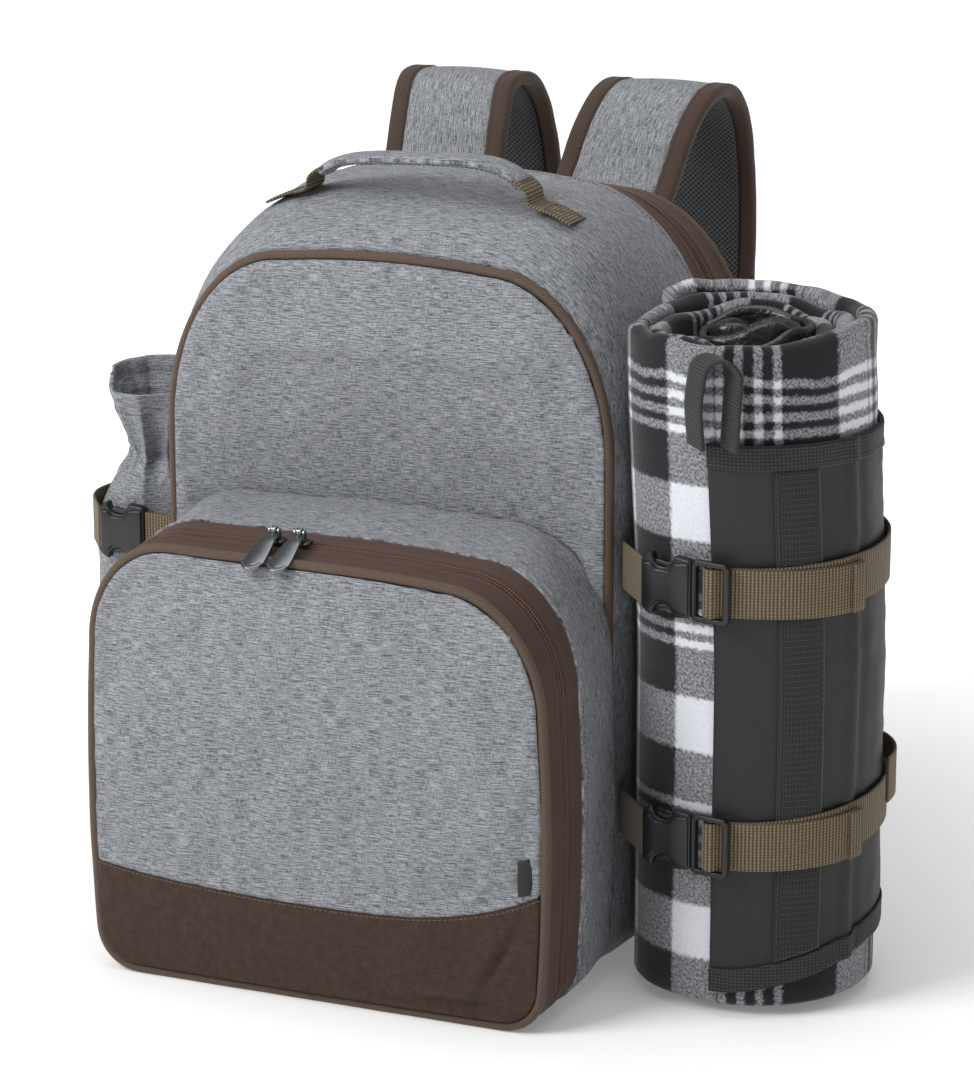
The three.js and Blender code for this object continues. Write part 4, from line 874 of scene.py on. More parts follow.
def thread(tone: Tone, shade: int) -> bpy.types.Material:
    """Twisted sewing thread."""
    look = Look(tone.value, Finish(0.7, 0.1))
    return look.done(look.colours(0.5, shade, shade))


def make_materials() -> dict[Tone, bpy.types.Material]:
    """All materials of the backpack."""
    return {
        Tone.HEATHER: heather_cloth(),
        Tone.PIPING: piping_cord(),
        Tone.BINDING: woven_tape(Tone.BINDING, 0x2A1C16, 0x604838, 1.6),
        Tone.ZIP_TAPE: woven_tape(Tone.ZIP_TAPE, 0x3A2217, 0x573828, 0.9),
        Tone.ZIP_TEETH: thread(Tone.ZIP_TEETH, 0x7A5A47),
        Tone.TWILL: base_twill(),
        Tone.WEBBING: ribbed_webbing(Tone.WEBBING, 0x33281C, 0x94805F, 2.3, 1.9),
        Tone.LADDER: ribbed_webbing(Tone.LADDER, 0x0B0B0C, 0x303033, 2.0, 1.6),
        Tone.HEM: hem_webbing(),
        Tone.CARRIER: carrier_twill(),
        Tone.FLEECE: plaid_fleece(),
        Tone.LINING: shiny_lining(),
        Tone.MESH: spacer_mesh(),
        Tone.PLASTIC: moulded_plastic(),
        Tone.METAL: gunmetal(),
        Tone.DARK_THREAD: thread(Tone.DARK_THREAD, 0x241B17),
        Tone.TAN_THREAD: thread(Tone.TAN_THREAD, 0x6E5947),
        Tone.BLACK_THREAD: thread(Tone.BLACK_THREAD, 0x3A3A3D),
    }


# ---------------------------------------------------------------- rows of stitches and beads

@dataclass(frozen=True)
class Row:
    """A row of small capsules along a line, in millimetres."""

    pitch: float = 3.4
    length: float = 2.5
    radius: float = 0.38


class RowMaker:
    """A Geometry Nodes group that lays capsules along lines."""

    def __init__(self) -> None:
        """Builds the node group once."""
        tree = bpy.data.node_groups.new("capsule_rows", "GeometryNodeTree")
        self.tree = tree
        face = tree.interface
        face.new_socket("Geometry", in_out="OUTPUT", socket_type="NodeSocketGeometry")
        face.new_socket("Geometry", in_out="INPUT", socket_type="NodeSocketGeometry")
        for label in ("Pitch", "Length", "Radius"):
            face.new_socket(label, in_out="INPUT", socket_type="NodeSocketFloat")
        face.new_socket("Material", in_out="INPUT", socket_type="NodeSocketMaterial")
        start = add_node(tree, "NodeGroupInput").outputs
        curve = add_node(tree, "GeometryNodeMeshToCurve", None, {"Mesh": start["Geometry"]})
        even = add_node(tree, "GeometryNodeResampleCurve", {"mode": "LENGTH"},
                        {"Curve": curve.outputs[0], "Length": start["Pitch"]})
        spots = add_node(tree, "GeometryNodeCurveToPoints", {"mode": "EVALUATED"},
                         {"Curve": even.outputs[0]})
        ball = add_node(tree, "GeometryNodeMeshUVSphere", None, {"Segments": 6, "Rings": 5,
                                                                 "Radius": start["Radius"]})
        double = add_node(tree, "ShaderNodeMath", {"operation": "MULTIPLY"}, {0: start["Radius"], 1: 2.0})
        stretch = add_node(tree, "ShaderNodeMath", {"operation": "DIVIDE"},
                           {0: start["Length"], 1: double.outputs[0]})
        size = add_node(tree, "ShaderNodeCombineXYZ", None, {0: 1.0, 1: 1.0, 2: stretch.outputs[0]})
        long = add_node(tree, "GeometryNodeTransform", None, {"Geometry": ball.outputs[0],
                                                              "Scale": size.outputs[0]})
        laid = add_node(tree, "GeometryNodeInstanceOnPoints", None, {
            "Points": spots.outputs["Points"], "Instance": long.outputs[0],
            "Rotation": spots.outputs["Rotation"]})
        real = add_node(tree, "GeometryNodeRealizeInstances", None, {"Geometry": laid.outputs[0]})
        soft = add_node(tree, "GeometryNodeSetShadeSmooth", None, {"Geometry": real.outputs[0]})
        dressed = add_node(tree, "GeometryNodeSetMaterial", None,
                           {"Geometry": soft.outputs[0], "Material": start["Material"]})
        add_node(tree, "NodeGroupOutput", None, {"Geometry": dressed.outputs[0]})

    def lay(self, name: str, lines: Sequence[Points], row: Row,
            look: bpy.types.Material) -> bpy.types.Object:
        """A plain mesh of capsules along lines.

        Args:
            name: the piece's name.
            lines: polylines in millimetres.
            row: the capsules' sizes.
            look: their material.
        Returns:
            The new object.
        """
        points, edges = [], []
        for line in lines:
            base = len(points)
            points += to_frame(np.asarray(line, float)).tolist()
            edges += [(base + k, base + k + 1) for k in range(len(line) - 1)]
        mesh = bpy.data.meshes.new(name)
        mesh.from_pydata(points, edges, [])
        piece = linked(name, mesh)
        modifier = piece.modifiers.new("rows", "NODES")
        modifier.node_group = self.tree
        names = {item.name: item.identifier for item in self.tree.interface.items_tree
                 if item.in_out == "INPUT"}
        modifier[names["Pitch"]] = row.pitch * MM
        modifier[names["Length"]] = row.length * MM
        modifier[names["Radius"]] = row.radius * MM
        modifier[names["Material"]] = look
        graph = bpy.context.evaluated_depsgraph_get()
        solid = bpy.data.meshes.new_from_object(piece.evaluated_get(graph))
        piece.modifiers.clear()
        piece.data = solid
        bpy.data.meshes.remove(mesh)
        return piece


# ---------------------------------------------------------------- cloth

def coons(bottom: Points, right: Points, top: Points, left: Points, rows: int, columns: int) -> Points:
    """A grid of points between four edges.

    Args:
        bottom: the lower edge, from left to right.
        right: the right edge, upwards.
        top: the upper edge, from left to right.
        left: the left edge, upwards.
        rows: the steps upwards.
        columns: the steps across.
    Returns:
        An array of rows, each of columns of points.
    """
    def even(line: Points, count: int) -> Points:
        run = lengths_along(line)
        marks = np.linspace(0, run[-1], count + 1)
        return np.stack([np.interp(marks, run, line[:, k]) for k in range(line.shape[1])], 1)

    low, high = even(bottom, columns)[None], even(top, columns)[None]
    first, last = even(left, rows)[:, None], even(right, rows)[:, None]
    up = np.linspace(0, 1, rows + 1)[:, None, None]
    over = np.linspace(0, 1, columns + 1)[None, :, None]
    corners = ((1 - up) * (1 - over) * low[:, :1] + (1 - up) * over * low[:, -1:]
               + up * (1 - over) * high[:, :1] + up * over * high[:, -1:])
    return (1 - up) * low + up * high + (1 - over) * first + over * last - corners


def to_edge(grid: Points) -> Points:
    """How far each point of a grid lies from the grid's edge, in millimetres."""
    edge = np.concatenate([grid[0], grid[-1], grid[:, 0], grid[:, -1]])
    flat = grid.reshape(-1, grid.shape[-1])
    near = np.full(len(flat), 1e9)
    for start in range(0, len(flat), 1024):
        part = flat[start:start + 1024]
        near[start:start + 1024] = np.sqrt(((part[:, None] - edge[None]) ** 2).sum(-1)).min(1)
    return near.reshape(grid.shape[:2])


@dataclass(frozen=True)
class Fill:
    """How a padded panel is blown up in the cloth simulation."""

    pressure: float = 2.0
    spare: float = 0.015
    stiff: float = 12.0
    cap: float = 5.0
    frames: int = 18


def billowed(sheet: Sheet, fill: Fill) -> Sheet:
    """A sewn panel pressed from behind, held along its seams.

    Args:
        sheet: the panel, with normals that point outwards.
        fill: the pressure, the spare cloth and the furthest it may rise.
    """
    rows, columns = sheet.points.shape[:2]
    faces = [(i * columns + j, i * columns + j + 1, (i + 1) * columns + j + 1, (i + 1) * columns + j)
             for i in range(rows - 1) for j in range(columns - 1)]
    mesh = bpy.data.meshes.new("billow")
    mesh.from_pydata(to_frame(sheet.points.reshape(-1, 3)).tolist(), [], faces)
    piece = linked("billow", mesh)
    held = piece.vertex_groups.new(name="seams")
    rim = [i * columns + j for i in range(rows) for j in range(columns)
           if i in (0, rows - 1) or j in (0, columns - 1)]
    held.add(rim, 1.0, "REPLACE")
    cloth = piece.modifiers.new("cloth", "CLOTH")
    cloth.settings.quality = 6
    cloth.settings.mass = 0.25
    cloth.settings.tension_stiffness = fill.stiff
    cloth.settings.compression_stiffness = fill.stiff
    cloth.settings.shear_stiffness = fill.stiff / 2
    cloth.settings.bending_stiffness = 0.4
    cloth.settings.vertex_group_mass = "seams"
    cloth.settings.shrink_min = -fill.spare
    cloth.settings.use_pressure = True
    cloth.settings.uniform_pressure_force = fill.pressure
    cloth.settings.effector_weights.gravity = 0.0
    cloth.collision_settings.use_collision = False
    scene = bpy.context.scene
    cloth.point_cache.frame_start = 1
    cloth.point_cache.frame_end = fill.frames
    for step in range(1, fill.frames + 1):
        scene.frame_set(step)
    graph = bpy.context.evaluated_depsgraph_get()
    moved = piece.evaluated_get(graph).to_mesh()
    flat = np.zeros(rows * columns * 3)
    moved.vertices.foreach_get("co", flat)
    piece.evaluated_get(graph).to_mesh_clear()
    bpy.data.objects.remove(piece)
    bpy.data.meshes.remove(mesh)
    scene.frame_set(1)
    shift = flat.reshape(rows, columns, 3) - to_frame(sheet.points)
    rise = np.nan_to_num((shift * sheet.normals()).sum(-1) / MM)
    LOG.info("billow: rise %.1f to %.1f mm", rise.min(), rise.max())
    rise = fill.cap * np.tanh((rise - rise.mean() * 0.5) / fill.cap)
    fade = ease(to_edge(sheet.points) / 8.0)
    return sheet.pushed(rise * fade)


# ---------------------------------------------------------------- body

@dataclass(frozen=True)
class BodySizes:
    """Sizes of the body's walls and trims in millimetres."""

    wall: float = 4.0
    pocket_wall: float = 2.5
    bulge: float = 8.0
    bulge_start: float = 38.0
    pocket_bulge: float = 10.8
    band_height: float = 66.0
    band_left: float = 9.0
    band_right: float = 36.0
    tape_sunk: float = 1.2
    tape_thick: float = 1.5
    pocket_zip: tuple[float, float, float] = (PIPING_RADIUS + SEAM_GAP, 26.0, 50.0)
    main_zip: tuple[float, float, float] = (BACK_SEAM - 42.0, BACK_SEAM - 21.0, BACK_SEAM)
    stitch_in: float = 5.0


class Pieces:
    """What every sub-assembly needs: the materials and the row maker."""

    def __init__(self, looks: dict[Tone, bpy.types.Material], rows: RowMaker) -> None:
        """Keeps the shared makers."""
        self.looks = looks
        self.rows = rows

    def dress(self, piece: bpy.types.Object, tone: Tone, slot: str, *nodes: str,
              body: str = PACK) -> bpy.types.Object:
        """Finishes a piece in one of the materials."""
        return finished(piece, self.looks[tone], nodes, body)

    def stitches(self, name: str, lines: Sequence[Points], tone: Tone = Tone.DARK_THREAD,
                 row: Row = Row(3.2, 2.3, 0.26), slot: str = "binding") -> bpy.types.Object:
        """Rows of stitches along lines that lie on the cloth."""
        return self.dress(self.rows.lay(name, lines, row, self.looks[tone]), tone, slot)


SectionAt = Callable[[float], Section]
TUCKED = 2 * PIPING_RADIUS - PIPING_PROUD - 0.9
STITCH_LIFT = 0.08


def line_at(section: Section, y: float, shares: Iterable[float]) -> Points:
    """Points of an outline at a depth."""
    return np.array([(x, y, z) for x, z in (section.point(share % 1.0) for share in shares)])


def ring_sheet(section_at: SectionAt, shares: Sequence[float], depths: Sequence[float], sunk: float,
               loop: bool) -> Sheet:
    """A band that runs round the body.

    Args:
        section_at: the outline at a depth.
        shares: places along the outline.
        depths: places from front to back.
        sunk: how far the band lies below the outline.
        loop: whether the band closes under the body.
    Returns:
        The band, with u along the outline and v from front to back.
    """
    points = np.stack([line_at(section_at(y).inset(sunk), y, shares) for y in depths], 1)
    for _ in range(6):
        points[:, 1:-1] = (points[:, :-2] + 2 * points[:, 1:-1] + points[:, 2:]) / 4
    run = lengths_along(points[:, len(depths) // 2])
    uvs = np.stack(np.broadcast_arrays(run[:, None], np.asarray(depths)[None]), -1)
    return Sheet(points, uvs, loop)


def turned_out(sheet: Sheet, away: Sequence[float] = BODY_MIDDLE) -> Sheet:
    """The sheet with its columns reversed if its normals point towards a place inside the body."""
    if (sheet.normals() * (sheet.points - np.asarray(away))).sum() > 0:
        return sheet
    return Sheet(sheet.points[:, ::-1].copy(), sheet.uvs[:, ::-1].copy(), sheet.loop)


def front_patch(section: Section, low: Points, rows: int, columns: int,
                high: Optional[Points] = None) -> Points:
    """A flat grid that fills a panel's outline between two edges, as x and z.

    Args:
        section: the panel's outline.
        low: its lower edge from left to right.
        rows: steps upwards.
        columns: steps across.
        high: its upper edge, or none for the arch with both half shoulders.
    Returns:
        The grid of x and z.
    """
    turn = (STRETCHES[2][1] + STRETCHES[3][1]) / 4
    foot = STRETCHES[1][1] / 2
    shares = np.linspace(foot, turn, 80)
    side = np.array([section.point(share) for share in shares])
    if high is None:
        top = np.array([section.point(share) for share in np.linspace(turn, 1 - turn, 120)])[::-1]
        end = top[-1][1]
    else:
        top, end = high, high[-1][1]
    side = side[(side[:, 1] > low[-1][1] + 0.5) & (side[:, 1] < end - 0.5)]
    right = np.concatenate([low[-1:], side, top[-1:]])
    left_end = low[0][1] + 0.5
    mirrored = np.array([section.point(1 - share) for share in shares])
    mirrored = mirrored[(mirrored[:, 1] > left_end) & (mirrored[:, 1] < top[0][1] - 0.5)]
    left = np.concatenate([low[:1], mirrored, top[:1]])
    return coons(low, right, top, left, rows, columns)


def sole_line(section: Section) -> Points:
    """The outline's sole with both feet, from left to right, as x and z."""
    foot = STRETCHES[1][1] / 2
    return np.array([section.point(share % 1.0) for share in np.linspace(-foot, foot, 120)])


def panel_rim(section: Section) -> Section:
    """The edge of a panel that is tucked under the piping of an outline."""
    return replace(section.inset(TUCKED), floor=2 * PIPING_RADIUS + SEAM_GAP)


def pipe(name: str, section: Section, y: float, waver: float) -> bpy.types.Object:
    """A piping ring along an outline.

    Args:
        name: the piece's name.
        section: the outline it follows.
        y: its depth.
        waver: how far the sewn cord strays, in millimetres.
    Returns:
        The ring.
    """
    inner = replace(section.inset(PIPING_RADIUS - PIPING_PROUD), floor=PIPING_RADIUS)
    line = line_at(inner, y, ring_shares())
    drift = ruffle(line, 38.0, waver, 3)
    line = line + np.stack([np.zeros(len(line)), drift, np.zeros(len(line))], 1)
    fine = []
    for k in range(len(line)):
        a, b = line[k], line[(k + 1) % len(line)]
        count = max(int(np.linalg.norm(b - a) // 3.0), 1)
        fine += [a + (b - a) * share / count for share in range(count)]
    line = softened(np.array(fine), 2, True)
    around = [PIPING_RADIUS * math.pi * (k / 8 - 1) for k in range(16)]
    return sweep(name, line, (0.0, 1.0, 0.0), round_profile(PIPING_RADIUS, 16), loop=True, flat=around)


def seam_on(sheet: Sheet, y: float) -> Points:
    """The line of a ring sheet at a depth, lifted off it."""
    raised = sheet.pushed(STITCH_LIFT).points
    return raised[:, int(np.argmin(np.abs(raised[..., 1].mean(0) - y)))]


class MainBody(Pieces):
    """The insulated main compartment with its zip over the top."""

    sizes = BodySizes()

    def build(self) -> None:
        """Builds the panel, the gusset, the pipings and the zip."""
        self.front_panel()
        self.gusset()
        for name, y in (("main_front_piping", POCKET_DEPTH), ("main_rear_piping", BODY_DEPTH)):
            ring = pipe(name + "_cord", main_section(y), y, 0.5)
            self.dress(ring, Tone.PIPING, "binding", name)
        zip_band(self, "main", main_section, self.sizes.main_zip, self.sizes)

    def front_panel(self) -> None:
        """The panel above the pocket, soft foam under canvas."""
        size = self.sizes
        rim = panel_rim(main_section(POCKET_DEPTH))
        grid = front_patch(rim, sole_line(rim), 110, 80)
        x, z = grid[..., 0], grid[..., 1]
        climb = np.clip((z - POCKET_REAR_HEIGHT - size.bulge_start)
                        / (FRONT_HEIGHT - POCKET_REAR_HEIGHT - size.bulge_start), 0, 1)
        swell = size.bulge * np.sin(np.pi * climb) * np.maximum(np.cos(np.pi * x / FRONT_WIDTH), 0)
        points = np.stack([x, POCKET_DEPTH - PIPING_RADIUS - swell, z], -1)
        sheet = billowed(turned_out(Sheet(points, grid.copy())), Fill(pressure=1.5, spare=0.012, cap=3.0))
        edge = to_edge(sheet.points)
        pucker = ruffle(sheet.points, 9.0, 1.4, 11) * bump(edge, 6.0, 9.0)
        soft = ruffle(sheet.points, 46.0, 2.2, 5) * ease(edge / 30.0)
        sheet = sheet.pushed(pucker + soft)
        piece = self.dress(sheet.solid("main_front_cloth", size.wall), Tone.HEATHER, "heather",
                           "main_front_panel")

    def gusset(self) -> None:
        """The band round the body between the front piping and the zip."""
        size = self.sizes
        start = POCKET_DEPTH + PIPING_RADIUS - 1.0
        end = size.main_zip[0] - SEAM_GAP
        depths = np.linspace(start, end, 62)
        sheet = ring_sheet(main_section, ring_shares(), depths, 0.0, True)
        points = sheet.points
        reach = np.abs(points[..., 1] - ROLL_CENTRE[1])
        touch = ROLL_CENTRE[0] - np.sqrt(np.maximum(ROLL_RADIUS ** 2 - reach ** 2, 0)) - 1.2
        points[..., 0] = np.where(reach < ROLL_RADIUS, np.minimum(points[..., 0], touch), points[..., 0])
        sheet = turned_out(sheet)
        share = (sheet.points[..., 1] - start) / (end - start)
        seams = np.maximum(bump(share, 0.06, 0.09), bump(share, 0.95, 0.07))
        pucker = ruffle(sheet.points, 10.0, 1.6, 13) * seams
        swell = 0.6 * np.sin(np.pi * share)
        soft = ruffle(sheet.points, 55.0, 2.6, 17) * ease(np.sin(np.pi * share) * 2)
        on_floor = ease((sheet.points[..., 2] - 1.0) / 22.0)
        at_roll = 1 - bump(sheet.points[..., 1], ROLL_CENTRE[1], 40.0) * (sheet.points[..., 0] > 120)
        sheet = sheet.pushed((pucker + swell * (sheet.points[..., 2] > 250) + soft) * on_floor * at_roll)
        piece = self.dress(sheet.solid("main_gusset_cloth", size.wall), Tone.HEATHER, "heather",
                           "main_gusset")
        seam = seam_on(sheet, end - size.stitch_in)
        self.stitches("main_gusset_stitches", [seam[seam[:, 2] > 30]])


def zip_band(maker: Pieces, name: str, section_at: SectionAt, places: tuple[float, float, float],
             size: BodySizes) -> None:
    """A zip over the arch: two tapes, two rows of teeth and the cloth strip under the body.

    Args:
        maker: the sub-assembly that dresses the pieces.
        name: the zip's name.
        section_at: the outline at a depth.
        places: the band's front edge, its middle and its rear edge.
        size: the body's sizes.
    """
    front, middle, rear = places
    shares = wrap_shares()
    for part, low, high in (("front", front, middle - 1.4), ("rear", middle + 1.4, rear)):
        depths = np.linspace(low, high, 15)
        sheet = turned_out(ring_sheet(section_at, shares, depths, size.tape_sunk, False))
        y = sheet.points[..., 1]
        away = np.abs(y - middle)
        fold = 0.5 * bump(away, 7.5, 4.0) - 0.9 * bump(away, 3.2, 1.8)
        wave = ruffle(sheet.points, 18.0, 0.5, 23)
        sheet = sheet.pushed(fold + wave)
        nodes = [name + "_zip_tape_" + part] + ([name + "_zip_coil"] if part == "rear" else [])
        solid = sheet.solid(name + "_zip_tape_" + part + "_cloth", size.tape_thick)
        maker.dress(solid, Tone.ZIP_TAPE, "binding", *nodes)
    teeth = []
    for shift in (-1.5, 1.5):
        depths = [middle + shift, middle + shift + 0.5]
        row = ring_sheet(section_at, shares, depths, size.tape_sunk - 0.2, False)
        teeth.append(row.points[:, 0])
    piece = maker.rows.lay(name + "_zip_teeth", teeth, Row(1.75, 1.2, 0.6), maker.looks[Tone.ZIP_TEETH])
    maker.dress(piece, Tone.ZIP_TEETH, "binding")
    under = turned_out(ring_sheet(section_at, under_shares(), np.linspace(front, rear, 14), 0.0, False))
    solid = under.solid(name + "_floor_cloth", size.pocket_wall)
    maker.dress(solid, Tone.HEATHER, "heather", name + "_floor_strip")


class FrontPocket(Pieces):
    """The zipped pocket with its brown drill base."""

    sizes = BodySizes()

    def swell(self, x: Points, z: Points) -> Points:
        """How far the pocket's face bulges forward."""
        across = np.maximum(1 - (2 * x / FRONT_WIDTH) ** 2, 0)
        climb = np.maximum(1 - (2 * z / POCKET_HEIGHT - 1) ** 2, 0)
        return self.sizes.pocket_bulge * np.sqrt(across * climb)

    def seam_height(self, x: Points) -> Points:
        """The height of the brown band's seam."""
        size = self.sizes
        share = x / (FRONT_WIDTH / 2 + 20)
        left, right = size.band_left * share ** 2, size.band_right * share ** 3
        return size.band_height + np.where(share < 0, left, right)

    def face(self, grid: Points, extra: float) -> Sheet:
        """A part of the pocket's face as a soft sheet."""
        x, z = grid[..., 0], grid[..., 1]
        points = np.stack([x, -PIPING_RADIUS / 2 - self.swell(x, z) - extra, z], -1)
        return turned_out(Sheet(points, grid.copy()), POCKET_MIDDLE)

    def build(self) -> None:
        """Builds the face, the band, the gusset, the piping and the zip."""
        size = self.sizes
        rim = panel_rim(pocket_section(0.0))
        xs = np.linspace(-1, 1, 120) * (rim.half + 1.0)
        seam = np.stack([xs, self.seam_height(xs)], 1)
        self.face_panel(rim, seam)
        self.base_band(rim, seam)
        self.gusset()
        ring = pipe("pocket_piping_cord", pocket_section(0.0), 0.0, 0.6)
        self.dress(ring, Tone.PIPING, "binding", "pocket_piping")
        zip_band(self, "pocket", pocket_section, size.pocket_zip, size)
        self.side_tab()

    def face_panel(self, rim: Section, seam: Points) -> None:
        """The grey canvas face."""
        sheet = self.face(front_patch(rim, seam + np.array([0.0, 0.3]), 84, 96), 0.0)
        sheet = billowed(sheet, Fill(pressure=2.0, spare=0.014, cap=3.2))
        edge = to_edge(sheet.points)
        pucker = ruffle(sheet.points, 8.0, 1.5, 31) * bump(edge, 5.0, 9.0)
        soft = ruffle(sheet.points, 42.0, 2.4, 37) * ease(edge / 26.0)
        piece = self.dress(sheet.pushed(pucker + soft).solid("pocket_face_cloth", self.sizes.pocket_wall),
                           Tone.HEATHER, "heather", "pocket_front_panel")

    def base_band(self, rim: Section, seam: Points) -> None:
        """The brown drill band, creased at both lower corners, with its stitched upper edge."""
        grid = front_patch(rim, sole_line(rim), 36, 110, seam)
        sheet = self.face(grid, 0.5)
        x, z = sheet.points[..., 0], sheet.points[..., 2]
        edge = to_edge(sheet.points)
        steep = x - 124.0 - 0.45 * (z - 46.0) + ruffle(sheet.points, 20.0, 4.0, 41)
        level = z - 15.0 - 0.05 * (x - 100.0)
        folds = (1.8 * bump(steep, -9.0, 8.0) - 2.8 * bump(steep, 0.0, 6.0)) * bump(z, 46.0, 36.0)
        folds = folds + (2.0 * bump(level, 10.0, 9.0) - 3.0 * bump(level, 0.0, 6.0)) * bump(x, 95.0, 55.0)
        folds = folds - 1.6 * bump(level, 2.0, 7.0) * bump(x, -122.0, 32.0)
        soft = ruffle(sheet.points, 30.0, 1.8, 43)
        sheet = sheet.pushed((folds + soft) * ease(edge / 8.0))
        piece = self.dress(sheet.solid("pocket_base_cloth", self.sizes.pocket_wall), Tone.TWILL, "twill",
                           "pocket_base_band")
        lift = sheet.pushed(0.05).points
        heights = lift[:, lift.shape[1] // 2, 2]
        line = lift[-2 if heights[-1] > heights[0] else 1]
        self.stitches("pocket_base_stitches", [line], Tone.TAN_THREAD, Row(3.4, 2.5, 0.26))

    def gusset(self) -> None:
        """The shelf and sides behind the pocket's zip."""
        size = self.sizes
        start, end = size.pocket_zip[2] + SEAM_GAP, POCKET_DEPTH - PIPING_RADIUS + 1.0
        sheet = turned_out(ring_sheet(pocket_section, ring_shares(), np.linspace(start, end, 34), 0.0, True),
                           POCKET_MIDDLE)
        share = (sheet.points[..., 1] - start) / (end - start)
        seams = np.maximum(bump(share, 0.1, 0.14), bump(share, 0.97, 0.2))
        pucker = ruffle(sheet.points, 11.0, 1.8, 47) * seams
        soft = ruffle(sheet.points, 36.0, 2.8, 53) * ease(np.sin(np.pi * share) * 2)
        on_floor = ease((sheet.points[..., 2] - 1.0) / 20.0)
        sheet = sheet.pushed((pucker + soft) * on_floor)
        piece = self.dress(sheet.solid("pocket_gusset_cloth", size.pocket_wall), Tone.HEATHER, "heather",
                           "pocket_gusset")
        seam = seam_on(sheet, start + size.stitch_in)
        sides = [seam[(seam[:, 2] > 16) & (seam[:, 2] < 210) & (seam[:, 0] * way > 0)] for way in (-1, 1)]
        self.stitches("pocket_gusset_stitches", sides)

    def side_tab(self) -> None:
        """The plain loop label sewn beside the piping."""
        x, z = np.meshgrid(np.linspace(137.0, 147.2, 12), np.linspace(91.5, 114.5, 12))
        face = -PIPING_RADIUS / 2 - self.swell(x, z) - 1.6 - 0.5 * np.sin((z - 91.5) / 23.0 * math.pi)
        y = mix(face, -2.0, ease((x - 142.5) / 4.5))
        sheet = turned_out(Sheet(np.stack([x, y, z + 0.25 * (x - 142.0)], -1), np.stack([x, z], -1)),
                           (0.0, 60.0, 100.0))
        self.dress(sheet.solid("pocket_side_tab_cloth", 0.9), Tone.CARRIER, "nylon", "pocket_side_tab")


# ---------------------------------------------------------------- zip pulls

# turns a plate drawn in x and y upright, with its thickness along x
UPRIGHT = Matrix(((0, 0, 1), (1, 0, 0), (0, 1, 0))).to_4x4()


@dataclass(frozen=True)
class PullSizes:
    """Sizes of a zip slider and its tab in millimetres."""

    long: float = 41.0
    wide: float = 14.0
    neck: float = 3.6
    thick: float = 1.6
    shoulder: float = 13.0
    drop: float = 23.0
    pin_radius: float = 0.9
    pin_height: float = 9.0
    forward: float = 3.5
    slider: tuple[float, float, float] = (11.0, 11.0, 3.2)
    places: tuple[tuple[str, float], ...] = (("left", -35.0), ("right", -18.0))


